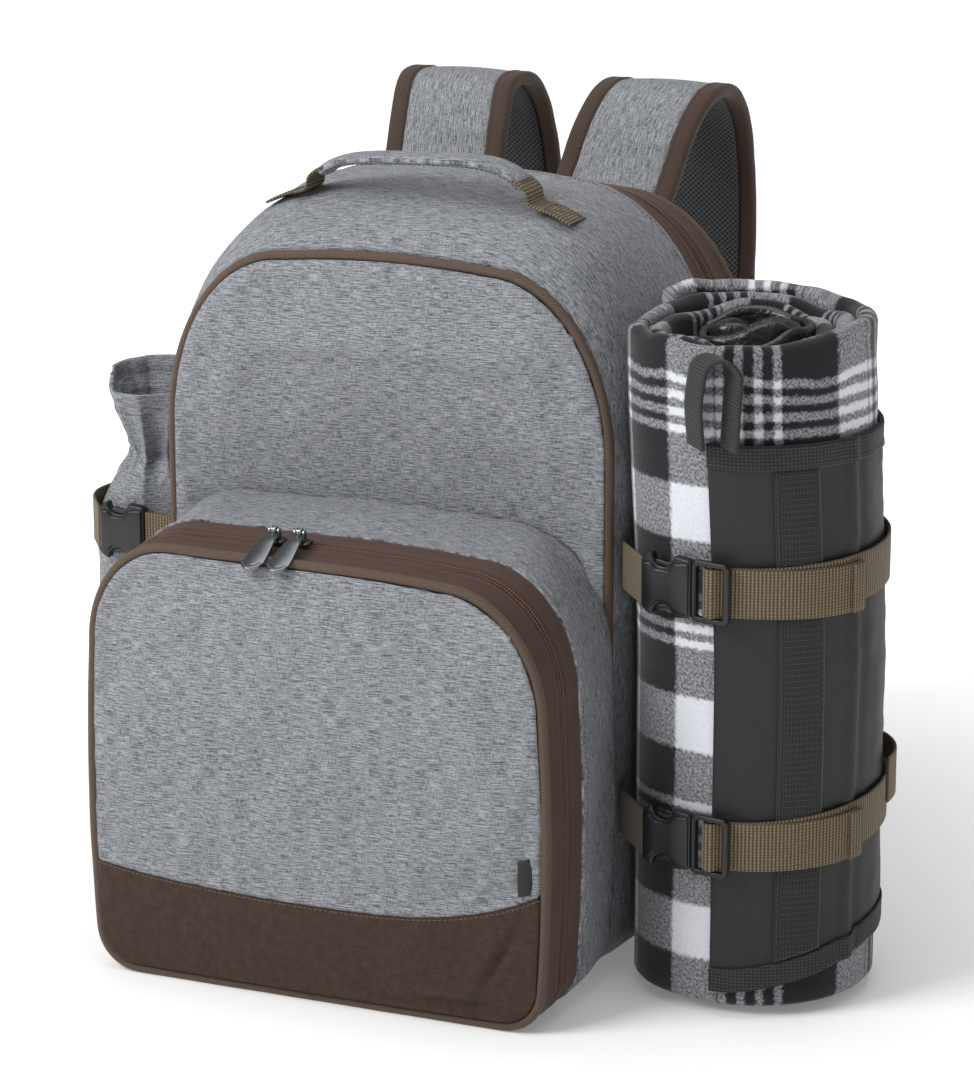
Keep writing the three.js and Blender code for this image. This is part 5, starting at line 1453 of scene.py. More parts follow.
class ZipPulls(Pieces):
    """Two die-cast sliders side by side with long teardrop tabs."""

    sizes = PullSizes()

    def seat(self, x: float) -> Vector:
        """Where a slider rests on the teeth."""
        y = BodySizes().pocket_zip[1]
        section = pocket_section(y).inset(0.3)
        along = (abs(x) - self.sizes.slider[0] / 2) / (section.half - section.wide)
        return Vector((x, y, section.top - CROWN * along * along + SEAM_GAP))

    def build(self) -> None:
        """Builds both sliders with their tabs."""
        for side, x in self.sizes.places:
            self.slider(side, self.seat(x))
            self.tab(side, self.seat(x))

    def slider(self, side: str, at: Vector) -> None:
        """A slider: a domed plate, two lugs and the pin."""
        size = self.sizes
        half, long = size.slider[0] / 2, size.slider[1] / 2
        plate = [(-half, -long * 0.55), (-half * 0.62, -long), (half * 0.62, -long), (half, -long * 0.55),
                 (half * 0.8, long * 0.3), (half * 0.95, long * 0.9), (0.0, long),
                 (-half * 0.95, long * 0.9), (-half * 0.8, long * 0.3)]
        base = slab("slider_base", plate, 2.4, Matrix.Translation(at), 0.55)
        dome = slab("slider_dome", [(x * 0.66, y * 0.8) for x, y in plate], 1.2,
                    Matrix.Translation(at + Vector((0, 0, 2.1))), 0.55)
        parts = [base, dome]
        inner = size.neck / 2 + 0.35
        lug = [(-2.5, 0.0), (2.5, 0.0), (2.3, 4.6), (1.3, 6.9), (0.0, 7.5), (-1.3, 6.9), (-2.3, 4.6)]
        for way in (-1, 1):
            x = at.x + (inner if way > 0 else -inner - 1.6)
            place = Matrix.Translation((x, at.y - size.forward, at.z + 3.1)) @ UPRIGHT
            parts.append(slab("slider_lug", lug, 1.6, place, 0.35))
        rod = round_profile(size.pin_radius, 16)
        place = Matrix.Translation((at.x - inner - 0.8, at.y - size.forward, at.z + size.pin_height))
        parts.append(slab("slider_pin", rod, 2 * inner + 1.6, place @ UPRIGHT, 0.1))
        piece = joined("zip_slider_" + side + "_cast", parts)
        self.dress(piece, Tone.METAL, "metal", "zip_slider_" + side)

    def tab(self, side: str, at: Vector) -> None:
        """A tab: an eye round the pin, a narrow neck and a long rounded blade with a raised rim."""
        size = self.sizes
        half, neck = size.wide / 2, size.neck / 2
        hinge = at + Vector((0, -size.forward, size.pin_height))
        drop = Matrix.Translation(hinge) @ Matrix.Rotation(math.radians(size.drop), 4, "X")
        eye = size.pin_radius + 0.35
        outer = eye + 1.1
        hub = slab("pull_eye", round_profile(outer, 24), size.neck,
                   drop @ Matrix.Translation((-neck, 0, 0)) @ UPRIGHT, 0.3, [round_profile(eye, 16)])
        blade = slab("pull_blade", self.outline(eye + 0.4), size.thick,
                     drop @ Matrix.Translation((0, 0, -size.thick / 2)), 0.6)
        middle, end = half - size.long, 0.1 - math.pi
        lip = [(half * math.cos(t), middle + half * math.sin(t)) for t in np.linspace(-0.1, end, 20)]
        lip += [((half - 2.4) * math.cos(t), middle + (half - 2.4) * math.sin(t) * 0.8)
                for t in np.linspace(end, -0.1, 20)]
        boss = slab("pull_lip", lip, 1.7, drop @ Matrix.Translation((0, 0, size.thick / 2 - 0.6)), 0.8)
        piece = joined("zip_pull_" + side + "_cast", [hub, blade, boss])
        self.dress(piece, Tone.METAL, "metal", "zip_pull_" + side, body="pull_" + side)

    def outline(self, start: float) -> list[tuple[float, float]]:
        """The teardrop's outline, begun below the eye."""
        size = self.sizes
        rows = [(start, size.neck / 2), (size.shoulder - 7.0, size.neck / 2), (size.shoulder - 5.5, 2.6),
                (size.shoulder - 4.2, 4.3), (size.shoulder - 1.0, 5.0), (size.shoulder + 6.0, 5.9),
                (size.shoulder + 14.0, 6.7)]
        rows = [(y, half) for y, half in rows if y >= start or y == rows[0][0]]
        right = [(half, -y) for y, half in rows]
        half = size.wide / 2
        middle = size.long - half
        round_end = [(half * math.cos(math.pi * k / 12), -middle - half * math.sin(math.pi * k / 12))
                     for k in range(13)]
        return right + round_end + [(-x, y) for x, y in reversed(right)]


# ---------------------------------------------------------------- back and shoulder straps

@dataclass(frozen=True)
class StrapSizes:
    """Sizes of the back's pad and the shoulder straps in millimetres."""

    wide: float = 86.0
    binding: float = 14.0
    foam: float = 8.0
    edge_thick: float = 9.0
    root_out: float = 60.0
    top_out: float = 72.0
    top: float = 512.0
    reach: float = 182.0
    root_height: float = 388.0
    pad: tuple[float, float, float, float, float] = (232.0, 60.0, 372.0, 8.0, 34.0)
    webbing_wide: float = 25.0
    webbing_thick: float = 1.6
    buckle_wide: float = 33.0
    anchor: tuple[float, float, float] = (134.0, 42.0, 24.0)


# back, height and offset of a strap's line in shares of its reach, its rise and its spread
STRAP_LINE = (
    (0.04, 0.0, 0.0), (0.06, 0.17, 0.02), (0.14, 0.39, 0.08), (0.26, 0.6, 0.25), (0.38, 0.85, 0.6),
    (0.52, 1.0, 1.0), (0.74, 0.98, 1.08), (0.89, 0.78, 1.08), (0.98, 0.42, 1.0), (1.0, -0.05, 0.95),
    (0.93, -0.55, 1.1), (0.76, -1.02, 1.5), (0.56, -1.4, 2.1),
)
BACK_SURFACE = BACK_SEAM + SEAM_GAP + BodySizes().wall
FRAME_LONG = 25.0
BUCKLE_BAR = 3.2


def ladder_frame(name: str, wide: float, basis: Matrix) -> bpy.types.Object:
    """A buckle's ladder frame: rounded rails, two slots and three bars.

    Args:
        name: the piece's name.
        wide: its width.
        basis: from its own axes, length, width and height, to the pattern's frame.
    Returns:
        The frame as one object.
    """
    half, long, thick = wide / 2, FRAME_LONG / 2, 4.5
    corner = 2.4
    outline = [(long - corner, -half), (long, -half + corner), (long, half - corner), (long - corner, half)]
    outline += [(-x, -y) for x, y in outline]
    slot = (FRAME_LONG - 3 * BUCKLE_BAR) / 2
    holes = []
    for side in (-1, 1):
        x = side * (slot + BUCKLE_BAR) / 2
        a, b, c = slot / 2, half - BUCKLE_BAR, 1.0
        holes.append([(x - a + c, -b), (x + a - c, -b), (x + a, -b + c), (x + a, b - c), (x + a - c, b),
                      (x - a + c, b), (x - a, b - c), (x - a, -b + c)])
    return slab(name, outline, thick, basis @ Matrix.Translation((0, 0, -thick / 2)), 0.9, holes)


class BackSide(Pieces):
    """The back panel with its mesh pad and the two shoulder straps."""

    sizes = StrapSizes()

    def build(self) -> None:
        """Builds the back and both straps."""
        self.back_panel()
        self.back_pad()
        for side in (-1, 1):
            self.strap(side, "left" if side < 0 else "right")

    def back_panel(self) -> None:
        """The canvas back."""
        rim = panel_rim(main_section(BODY_DEPTH))
        grid = front_patch(rim, sole_line(rim), 80, 60)
        x, z = grid[..., 0], grid[..., 1]
        sheet = turned_out(Sheet(np.stack([x, np.full_like(x, BACK_SURFACE), z], -1), grid.copy()))
        edge = to_edge(sheet.points)
        sheet = sheet.pushed(ruffle(sheet.points, 9.0, 0.8, 61) * bump(edge, 5.0, 9.0) - 0.4)
        piece = self.dress(sheet.solid("back_cloth", 3.4), Tone.HEATHER, "heather", "back_panel")

    def back_pad(self) -> None:
        """The spacer-mesh pad: foam with three soft channels across."""
        wide, low, high, thick, corner = self.sizes.pad
        half = wide / 2
        turns = np.linspace(-math.pi / 2, 0, 12)
        right = [(half - corner + corner * math.cos(t), low + corner + corner * math.sin(t)) for t in turns]
        right += [(half, low + corner + (high - low - 2 * corner) * k / 12) for k in range(1, 12)]
        right += [(half - corner + corner * math.cos(t), high - corner + corner * math.sin(t))
                  for t in turns + math.pi / 2]
        right = np.array(right)
        left = right * np.array([-1.0, 1.0])
        bottom, top = np.linspace(left[0], right[0], 30), np.linspace(left[-1], right[-1], 30)
        grid = coons(bottom, right, top, left, 70, 50)
        x, z = grid[..., 0], grid[..., 1]
        flat = np.stack([x, np.full_like(x, BACK_SURFACE + SEAM_GAP + thick), z], -1)
        sheet = turned_out(Sheet(flat, grid.copy()))
        edge = to_edge(sheet.points)
        channels = sum(bump(z, at, 9.0) for at in (138.0, 216.0, 294.0))
        sunk = (thick - 1.0) * (1 - np.sqrt(ease(edge / 12.0)))
        sheet = sheet.pushed(-sunk - 3.0 * channels * ease(edge / 14))
        piece = self.dress(sheet.solid("back_pad_mesh", 0.9), Tone.MESH, "mesh", "back_pad")

    def strap_points(self, side: int) -> Points:
        """The strap's centre line."""
        size = self.sizes
        rows = [(side * mix(size.root_out, size.top_out, out), BACK_SURFACE + size.reach * back,
                 size.root_height + (size.top - size.root_height) * high) for back, high, out in STRAP_LINE]
        return resampled(np.array(rows), 4.0)

    def strap(self, side: int, name: str) -> None:
        """One shoulder strap: canvas over foam, spacer mesh below, bound edges and its adjuster."""
        size = self.sizes
        line = self.strap_points(side)
        pad_wide = size.wide - 2 * size.binding + 6.0
        right = np.array([1.0, 0.0, 0.0])
        crown = [(mix(-pad_wide / 2, pad_wide / 2, k / 12), 0.5 - size.foam / 2
                  - 1.6 * math.sin(math.pi * k / 12)) for k in range(13)]
        under = [(x, size.foam / 2) for x, _ in reversed(crown)]
        pad = sweep("strap_pad_" + name + "_cloth", line, right, crown + under)
        self.dress(pad, Tone.HEATHER, "heather", "strap_pad_" + name)
        low = [(x, y + 0.3) for x, y in under][::-1]
        high = [(x, y + 2.0 + 0.8 * math.sin(math.pi * (x / pad_wide + 0.5))) for x, y in low[::-1]]
        net = sweep("strap_mesh_" + name + "_net", line, right, low + high)
        self.dress(net, Tone.MESH, "mesh", "strap_mesh_" + name)
        edge = (size.wide - size.binding) / 2
        lines = []
        for part, way in (("inner", -side), ("outer", side)):
            middle = line + right * (way * edge)
            wavy = ruffle(middle, 14.0, 0.35, 71)
            node = "strap_binding_" + part + "_" + name
            tape = sweep(node + "_tape", middle + right * wavy[:, None], right, self.bound_profile())
            self.dress(tape, Tone.BINDING, "binding", node)
            run = tangents(line)
            out = np.cross(run, np.broadcast_to(right, run.shape))
            shift = right * (way * (edge - size.binding / 2 + 3.0))
            for lift in (1.0, -1.0):
                lines.append(line + shift + out * (lift * (size.edge_thick / 2 + 0.15)))
        self.stitches("strap_stitches_" + name, lines)
        self.adjuster(side, name, line)

    def bound_profile(self) -> list[tuple[float, float]]:
        """A folded binding: flat on both sides of the strap with a rounded edge."""
        half, low = self.sizes.binding / 2, self.sizes.edge_thick / 2
        turns = [mix(math.pi / 2, -math.pi / 2, k / 6) for k in range(7)]
        right = [(half - 3.0 + 3.0 * math.cos(t), low * math.sin(t)) for t in turns]
        left = [(-half + 1.2 + 1.2 * math.cos(t), low * math.sin(t)) for t in
                [mix(-math.pi / 2, -3 * math.pi / 2, k / 4) for k in range(5)]]
        return right + [(0.0, -low)] + left + [(0.0, low)]

    def adjuster(self, side: int, name: str, line: Points) -> None:
        """The ladder buckle below the pad and its webbing to the body's lower corner."""
        size = self.sizes
        end = Vector(line[-1])
        along = Vector(line[-1] - line[-3])
        along.x = 0
        along.normalize()
        right = Vector((1, 0, 0))
        up = along.cross(right)
        place = end + along * (FRAME_LONG / 2 + SEAM_GAP)
        basis = Matrix((along, right, up)).transposed().to_4x4()
        frame_piece = ladder_frame("strap_buckle_" + name + "_frame", size.buckle_wide,
                                   Matrix.Translation(place) @ basis)
        self.dress(frame_piece, Tone.PLASTIC, "plastic", "strap_buckle_" + name)
        start = end + along * (FRAME_LONG + 2 * SEAM_GAP)
        flat = BACK_SURFACE + size.webbing_thick / 2 + SEAM_GAP
        out, height, sewn = size.anchor
        anchor = Vector((side * out, flat, height))
        low, bend = anchor + Vector((0, 0, sewn)), anchor + Vector((0, 0, 2 * sewn))
        hang = [start * (1 - t) ** 2 + bend * (2 * t * (1 - t)) + low * t * t for t in np.linspace(0, 1, 30)]
        path = np.array([tuple(point) for point in hang] + [tuple(anchor)])
        loop = sweep("strap_webbing_" + name + "_tape", path, (1.0, 0.0, 0.0),
                     flat_profile(size.webbing_wide, size.webbing_thick))
        self.dress(loop, Tone.WEBBING, "webbing", "strap_webbing_" + name)


# ---------------------------------------------------------------- carry handle

@dataclass(frozen=True)
class HandleSizes:
    """Sizes of the carry handle in millimetres."""

    back: float = 60.0
    span: float = 150.0
    rise: float = 20.0
    lift: float = 3.0
    wide: float = 27.0
    thick: float = 7.0
    tab: float = 24.0
    short: float = 8.0
    narrow: float = 3.0
    fold: float = 4.5


def top_height(x: float, y: float) -> float:
    """The height of the crest at a place."""
    section = main_section(y)
    flat = section.half - section.wide
    if abs(x) <= flat:
        return section.top - CROWN * (x / flat) ** 2
    across = min((abs(x) - flat) / section.wide, 1.0)
    return section.top - CROWN - section.high * (1 - math.sqrt(1 - across * across))


def box_stitch(centre: Points, along: Points, across: Points, long: float, wide: float) -> list[Points]:
    """A sewn box with a cross in it, as two lines."""
    a, b = along * long / 2, across * wide / 2
    corners = [centre - a - b, centre + a - b, centre + a + b, centre - a + b]
    box = resampled_straight([*corners, corners[0], corners[2]])
    return [box, resampled_straight([corners[1], corners[3]])]


def resampled_straight(corners: Sequence[Points]) -> Points:
    """Points about 1 mm apart along straight runs."""
    points = [corners[0]]
    for a, b in zip(corners, corners[1:]):
        count = max(int(np.linalg.norm(b - a)), 2)
        points += [a + (b - a) * k / count for k in range(1, count + 1)]
    return np.array(points)


class CarryHandle(Pieces):
    """The padded grip on the crest and its two webbing tabs."""

    sizes = HandleSizes()

    def build(self) -> None:
        """Builds the grip and both tabs."""
        size = self.sizes
        y = POCKET_DEPTH + size.back
        crown = top_height(0.0, y)
        half = size.span / 2
        grip_half = half - size.short
        round_end = half - size.short / 2

        def arch(x: float) -> float:
            skew = 3.0 * x / half * (1 - (x / half) ** 2)
            return crown + size.lift + size.rise * math.sqrt(1 - (x / round_end) ** 4) + skew - 1.0

        line = resampled(np.array([(x, y, arch(x)) for x in np.linspace(-grip_half, grip_half, 30)]), 2.0)
        wide, thick = size.wide - size.narrow, size.thick
        turns = np.linspace(0, 2 * math.pi, 28, endpoint=False)
        profile = [(wide / 2 * math.copysign(abs(math.cos(t)) ** 0.7, math.cos(t)),
                    thick / 2 * math.copysign(abs(math.sin(t)) ** 0.8, math.sin(t))) for t in turns]
        grip = sweep("handle_grip_cloth", line, (0.0, 1.0, 0.0), profile,
                     taper=1 + ruffle(line, 24.0, 0.05, 81))
        self.dress(grip, Tone.HEATHER, "heather", "handle_grip")
        seam = line + np.array([0.0, -wide / 2 + 0.6, -2.4])
        self.stitches("handle_seam", [seam + np.array([0.0, -0.5, 0.0])])
        for side in (-1, 1):
            self.tab(side, y, crown, half, arch(grip_half), grip_half)

    def tab(self, side: int, y: float, crown: float, half: float, high: float, grip_half: float) -> None:
        """One tab: it drops from the grip's end and folds out flat on the crest."""
        size = self.sizes

        def seat(x: float) -> tuple[float, float, float]:
            highest = max(top_height(x, y + way * size.wide / 2) for way in (-1, 0, 1))
            return side * x, y, highest + 1.4

        foot = half + size.fold
        path = [(side * (grip_half - 3), y, high + 2.6), (side * (grip_half + 2), y, high),
                (side * (half - 1), y, mix(high, crown, 0.4)),
                (side * (half + 0.5), y, top_height(half, y) + 4.5),
                *(seat(foot + size.tab * k / 3) for k in range(4))]
        line = resampled(np.array(path), 1.5)
        name = "handle_tab_" + ("left" if side < 0 else "right")
        tape = sweep(name + "_tape", line, (0.0, 1.0, 0.0), flat_profile(size.wide, 1.6))
        self.dress(tape, Tone.WEBBING, "webbing", name)
        run = lengths_along(line)
        flat = box_stitch(np.array([run[-1] - size.tab / 2 + 1.0, 0.0, 0.0]), np.array([1.0, 0.0, 0.0]),
                          np.array([0.0, 1.0, 0.0]), size.tab - 6, size.wide - 7)
        lines = []
        for drawn in flat:
            laid = np.stack([np.interp(drawn[:, 0], run, line[:, k]) for k in range(3)], 1)
            lines.append(laid + np.stack([0 * drawn[:, 0], drawn[:, 1], 0 * drawn[:, 0] + 0.9], 1))
        self.stitches(name + "_stitches", lines, Tone.DARK_THREAD, Row(2.6, 2.0, 0.35), "webbing")


# ---------------------------------------------------------------- webbing and buckles

WEB_THICK = 1.6


@dataclass(frozen=True)
class BuckleSizes:
    """Sizes of a side-release buckle in millimetres."""

    wide: float = 38.0
    body_long: float = 34.0
    frame_long: float = FRAME_LONG
    thick: float = 9.0
    frame_thick: float = 4.5
    notch: float = 7.5
    notch_at: float = 0.42
    bar: float = BUCKLE_BAR
    lift: float = 2.4
    chamfer: float = 0.16
    end_wide: float = 0.86
    mouth_wide: float = 0.94


# the webbing's way round the frame's middle bar: side, share of the slot and lift in frame thicknesses
LOOP_FORM = (
    (1, 0.6, -0.51), (1, 0.3, 0.13), (1, 0.09, 0.72), (0, 0.0, 0.81),
    (-1, 0.09, 0.72), (-1, 0.45, 0.13), (-1, 0.4, -0.53), (-1, 0.15, -0.8),
)


class Seat:
    """A place beside a round body, with its own length, width and height directions."""

    def __init__(self, centre: tuple[float, float], degrees: float, z: float) -> None:
        """Sets the place by its angle and height."""
        turn = math.radians(degrees)
        self.out = Vector((math.cos(turn), math.sin(turn), 0))
        self.along = Vector((-math.sin(turn), math.cos(turn), 0))
        self.middle = Vector((centre[0], centre[1], z))

    def at(self, shift: float, lift: float) -> Vector:
        """A point by its way along the surface and out from the axis."""
        return self.middle + self.out * lift + self.along * shift

    def matrix(self, shift: float, lift: float) -> Matrix:
        """The axes of a piece that lies here."""
        up = Vector((0, 0, 1))
        basis = Matrix((self.along, up, self.along.cross(up))).transposed().to_4x4()
        return Matrix.Translation(self.at(shift, lift)) @ basis


class Buckle(Pieces):
    """A side-release buckle body: a notched socket with two sprung arms and a raised centre."""

    sizes = BuckleSizes()

    def body(self, name: str, matrix: Matrix, node: str) -> None:
        """Builds the body.

        Args:
            name: the piece's name.
            matrix: from its own axes to the pattern's frame.
            node: the CAD node that it replaces.
        """
        size = self.sizes
        half, long = size.wide / 2, size.body_long
        end = half * size.end_wide
        lower = [(0.0, -end + 2), (1.2, -end), (long * size.chamfer, -half)]
        notch = [(long * size.notch_at + size.notch * math.cos(t), -half + size.notch * math.sin(t))
                 for t in np.linspace(math.pi, 0, 14)]
        mouth = [(long - 1.5, -half * size.mouth_wide), (long, -half * size.mouth_wide + 1.6)]
        below = lower + notch + mouth
        outline = below + [(x, -y) for x, y in reversed(below)]
        base = slab("buckle_base", outline, size.thick - 2.2, matrix, 1.5)
        reach = half - size.notch - 1.6
        raised = [(1.8, -half * 0.7), (long * 0.2, -half * 0.72), (long * 0.3, -reach),
                  (long * 0.56, -reach), (long * 0.66, -half * 0.8), (long - 1.2, -half * 0.86)]
        raised = raised + [(x, -y) for x, y in reversed(raised)]
        top = slab("buckle_top", raised, 2.9, matrix @ Matrix.Translation((0, 0, size.thick - 3.4)), 1.4)
        parts = [base, top]
        for way in (-1, 1):
            arm = [(long * 0.25, way * (half - 3.9)), (long * 0.3, way * (half - 6.6)),
                   (long * 0.5, way * (half - 7.4)), (long * 0.62, way * (half - 5.4)),
                   (long * 0.62, way * (half - 3.0)), (long * 0.5, way * (half - 4.6)),
                   (long * 0.34, way * (half - 3.6))]
            parts.append(slab("buckle_arm", arm if way > 0 else arm[::-1], 4.4,
                              matrix @ Matrix.Translation((0, 0, 1.4)), 0.7))
        self.dress(joined(name, parts), Tone.PLASTIC, "plastic", node)

    def frame(self, name: str, matrix: Matrix, node: str) -> None:
        """Builds the ladder frame with its neck into the socket."""
        rail = ladder_frame("frame_rail", self.sizes.wide, matrix)
        bar = [(-11.8, -15.5), (-9.6, -15.5), (-9.6, 15.5), (-11.8, 15.5)]
        ridge = slab("frame_ridge", bar, 1.0, matrix @ Matrix.Translation((0, 0, 1.9)), 0.4)
        self.dress(joined(name, [rail, ridge]), Tone.PLASTIC, "plastic", node)


def beside_body(y: float) -> float:
    """Where webbing meets the body's side."""
    return main_section(y).half + 2 * SEAM_GAP + WEB_THICK / 2


def arc(centre: tuple[float, float], radius: float, first: float, last: float, count: int,
        z: float) -> list[tuple[float, float, float]]:
    """Points of a level arc between two angles in degrees."""
    turns = [math.radians(mix(first, last, k / count)) for k in range(count + 1)]
    return [(centre[0] + radius * math.cos(t), centre[1] + radius * math.sin(t), z) for t in turns]


def tangent_degrees(centre: tuple[float, float], radius: float, point: Sequence[float], side: int) -> float:
    """The angle at which taut webbing from a point touches a circle."""
    x, y = point[0] - centre[0], point[1] - centre[1]
    return math.degrees(math.atan2(y, x) + side * math.acos(radius / math.hypot(x, y)))


def webbing(name: str, path: Sequence[Sequence[float]], wide: float = WEBBING_WIDE,
            thick: float = WEB_THICK, across: Sequence[float] = (0.0, 0.0, 1.0),
            tight: bool = True) -> bpy.types.Object:
    """A strap of webbing along a path.

    Args:
        name: the piece's name.
        path: points of its centre line.
        wide: its width.
        thick: its thickness.
        across: the direction of its width.
        tight: whether corners stay as drawn, in place of a smooth curve.
    Returns:
        The new object.
    """
    path = np.array([tuple(point) for point in path], float)
    line = softened(resampled_straight(list(path)), 2, False) if tight else resampled(path, 2.0)
    return sweep(name, line, across, flat_profile(wide, thick, 0.45))


# ---------------------------------------------------------------- bottle pocket

@dataclass(frozen=True)
class PouchSizes:
    """Sizes of the bottle pocket in millimetres."""

    radius: float = 41.0
    back: float = 73.0
    height: float = 340.5
    waist: float = 291.0
    rim_tilt: float = 4.5
    wall: float = 2.2
    strap_height: float = 245.0
    strap_reach: float = 50.0
    buckle: float = -93.0
    out: float = 0.93
    folds: int = 9


# how far the gathered cloth reaches towards the left front at a height
CUT_FORM = (
    (230.0, 60.0), (252.0, 41.0), (264.0, 34.0), (274.0, 26.0), (283.0, 17.5), (291.0, 14.5), (300.0, 17.0),
    (322.0, 25.5), (341.0, 29.0),
)
CUT_TURN = math.radians(207.0)
# height as a share of the waist's, radius and pleat as shares of the pocket's radius
POUCH_FORM = ((0.012, 1.0, 0.0), (0.05, 1.02, 0.0), (0.2, 1.04, 0.0), (0.6, 0.99, 0.0), (0.85, 0.99, 0.01),
              (0.95, 0.9, 0.04), (0.985, 0.72, 0.09), (1.0, 0.64, 0.11))
# the neck above the waist, with shares of the neck's height
NECK_FORM = ((0.06, 0.645, 0.1), (0.2, 0.7, 0.09), (0.6, 0.9, 0.05), (1.0, 1.02, 0.02))


class BottlePocket(Pieces):
    """The drawstring pocket on the left: flat against the body, gathered below an open collar."""

    sizes = PouchSizes()

    def centre(self) -> tuple[float, float]:
        """The pocket's axis."""
        size = self.sizes
        y = POCKET_DEPTH + size.back
        return -(main_section(y).half + size.radius * size.out), y

    def point(self, z: float, radius: float, pleat: float, tilt: float,
              turn: float) -> tuple[float, float, float]:
        """A point of the wall.

        Args:
            z: its height.
            radius: the radius there, as a share.
            pleat: the depth of the gathers there, as a share.
            tilt: how far the collar's tilt counts here, from 0 to 1.
            turn: its angle.
        Returns:
            The point.
        """
        size = self.sizes
        x0, y0 = self.centre()
        phase = size.folds * 1.7 * turn + 1.3 * math.sin(2 * turn) + 0.7 * math.sin(5 * turn + 1)
        ridge = 1 - 2 * abs(math.sin(phase / 2)) ** 0.7
        fold = pleat * size.radius * (0.7 * ridge + 0.45 * math.cos(size.folds * turn))
        reach = size.radius * radius
        facing = math.cos(turn - CUT_TURN)
        if facing > 0.05:
            limit = along_table(CUT_FORM, z)[0] / facing
            reach = (reach ** -8 + limit ** -8) ** -0.125
        reach += fold
        y = y0 + reach * math.sin(turn)
        flat = -(main_section(y).half + 2 * SEAM_GAP)
        return min(x0 + reach * math.cos(turn), flat), y, z + tilt * size.rim_tilt * math.sin(turn)

    def build(self) -> None:
        """Builds the pocket, its strap and its buckle."""
        size = self.sizes
        rows = [(size.waist * share, radius, pleat, 0.0) for share, radius, pleat in POUCH_FORM]
        rows += [(size.waist + (size.height - size.waist) * share, radius, pleat, share)
                 for share, radius, pleat in NECK_FORM]
        table = np.array(rows)
        heights = np.concatenate([np.linspace(table[0, 0], size.waist - 40, 56, endpoint=False),
                                  np.linspace(size.waist - 40, size.height, 64)])
        shape = np.stack([np.interp(heights, table[:, 0], table[:, k]) for k in range(1, 4)], 1)
        shape = softened(shape, 3, False)
        turns = np.linspace(0, 2 * math.pi, 200, endpoint=False)
        outer = np.array([[self.point(z, *row, turn) for z, row in zip(heights, shape)] for turn in turns])
        x0, y0 = self.centre()
        free = ease((-(outer[..., 0]) - 175.0) / 22.0)
        z = outer[..., 2]
        soft = ruffle(outer, 34.0, 2.2, 91) + ruffle(outer, 13.0, 0.8, 93) * bump(z, size.waist, 60.0)
        slack = 1.5 * np.sin(z / 11.0 + 3 * ruffle(outer, 45.0, 1.0, 95)) * bump(z, 70.0, 60.0)
        lift = (soft + slack) * free * ease((z - 3) / 14.0)
        hem = 1.3 * bump(z, size.height - 8.0, 7.0) - 0.7 * bump(z, size.height - 16.5, 1.8)
        waist = -1.2 * bump(z, size.waist + 1.0, 3.0)
        away = outer - np.array([x0, y0, 0.0])
        away[..., 2] = 0
        away /= np.maximum(np.linalg.norm(away, axis=-1, keepdims=True), 1e-6)
        outer = outer + away * (lift + (hem + waist) * free)[..., None]
        inner = outer - away * size.wall
        inner[:, 0, 2] += size.wall
        self.shell(outer, inner, turns, size)
        line = outer[:, np.argmin(np.abs(heights - (size.height - 15.0)))] + away[:, 100] * 0.25
        seen = line[(turns > 1.2) & (turns < 5.1)]
        self.stitches("bottle_pouch_stitches", [seen], Tone.DARK_THREAD, Row(3.0, 2.0, 0.2))
        self.strap()

    def shell(self, outer: Points, inner: Points, turns: Points, size: PouchSizes) -> None:
        """Closes the wall at its rim and its floor."""
        count, high = outer.shape[:2]
        points = np.concatenate([outer.reshape(-1, 3), inner.reshape(-1, 3)])
        u = turns * size.radius
        flat = np.stack(np.broadcast_arrays(u[:, None], outer[0, :, 2][None]), -1)
        uvs = np.concatenate([flat.reshape(-1, 2)] * 2)
        faces, base = [], count * high
        for i in range(count):
            a, b = i * high, ((i + 1) % count) * high
            for j in range(high - 1):
                faces.append((a + j, b + j, b + j + 1, a + j + 1))
                faces.append((base + a + j, base + a + j + 1, base + b + j + 1, base + b + j))
            faces.append((a + high - 1, b + high - 1, base + b + high - 1, base + a + high - 1))
        middle = np.array([[self.centre()[0], self.centre()[1], outer[0, 0, 2]],
                           [self.centre()[0], self.centre()[1], inner[0, 0, 2]]])
        points = np.concatenate([points, middle])
        uvs = np.concatenate([uvs, np.zeros((2, 2))])
        last = len(points)
        for i in range(count):
            a, b = i * high, ((i + 1) % count) * high
            faces.append((b, a, last - 2))
            faces.append((base + a, base + b, last - 1))
        piece = mesh_piece("bottle_pouch_cloth", points, faces, uvs)
        self.dress(piece, Tone.HEATHER, "heather", "bottle_pouch")

    def strap(self) -> None:
        """The webbing round the pocket with its buckle in front."""
        size, buckle = self.sizes, BuckleSizes()
        seat = Seat(self.centre(), size.buckle, size.strap_height)
        radius = size.radius + WEB_THICK / 2 + 2 * SEAM_GAP
        low = size.radius + SEAM_GAP
        half = buckle.body_long / 2
        level = low + buckle.thick / 2

        def anchor(y: float) -> tuple[float, float, float]:
            return -beside_body(y), y, size.strap_height

        y0 = self.centre()[1]
        front = [seat.at(half + 0.3, level), anchor(y0 - size.strap_reach)]
        start, end = seat.at(-half - 0.9, level), anchor(y0 + size.strap_reach)
        meets = tangent_degrees(self.centre(), radius, start, -1)
        leaves = tangent_degrees(self.centre(), radius, end, 1) - 360
        round_path = arc(self.centre(), radius, meets, leaves, 40, size.strap_height)
        self.dress(webbing("pouch_strap_front_tape", front), Tone.WEBBING, "webbing", "pouch_strap_front")
        self.dress(webbing("pouch_strap_rear_tape", [start, *round_path, end]), Tone.WEBBING, "webbing",
                   "pouch_strap_rear")
        Buckle(self.looks, self.rows).body("pouch_buckle_moulding", seat.matrix(-half, low), "pouch_buckle")


# ---------------------------------------------------------------- blanket roll

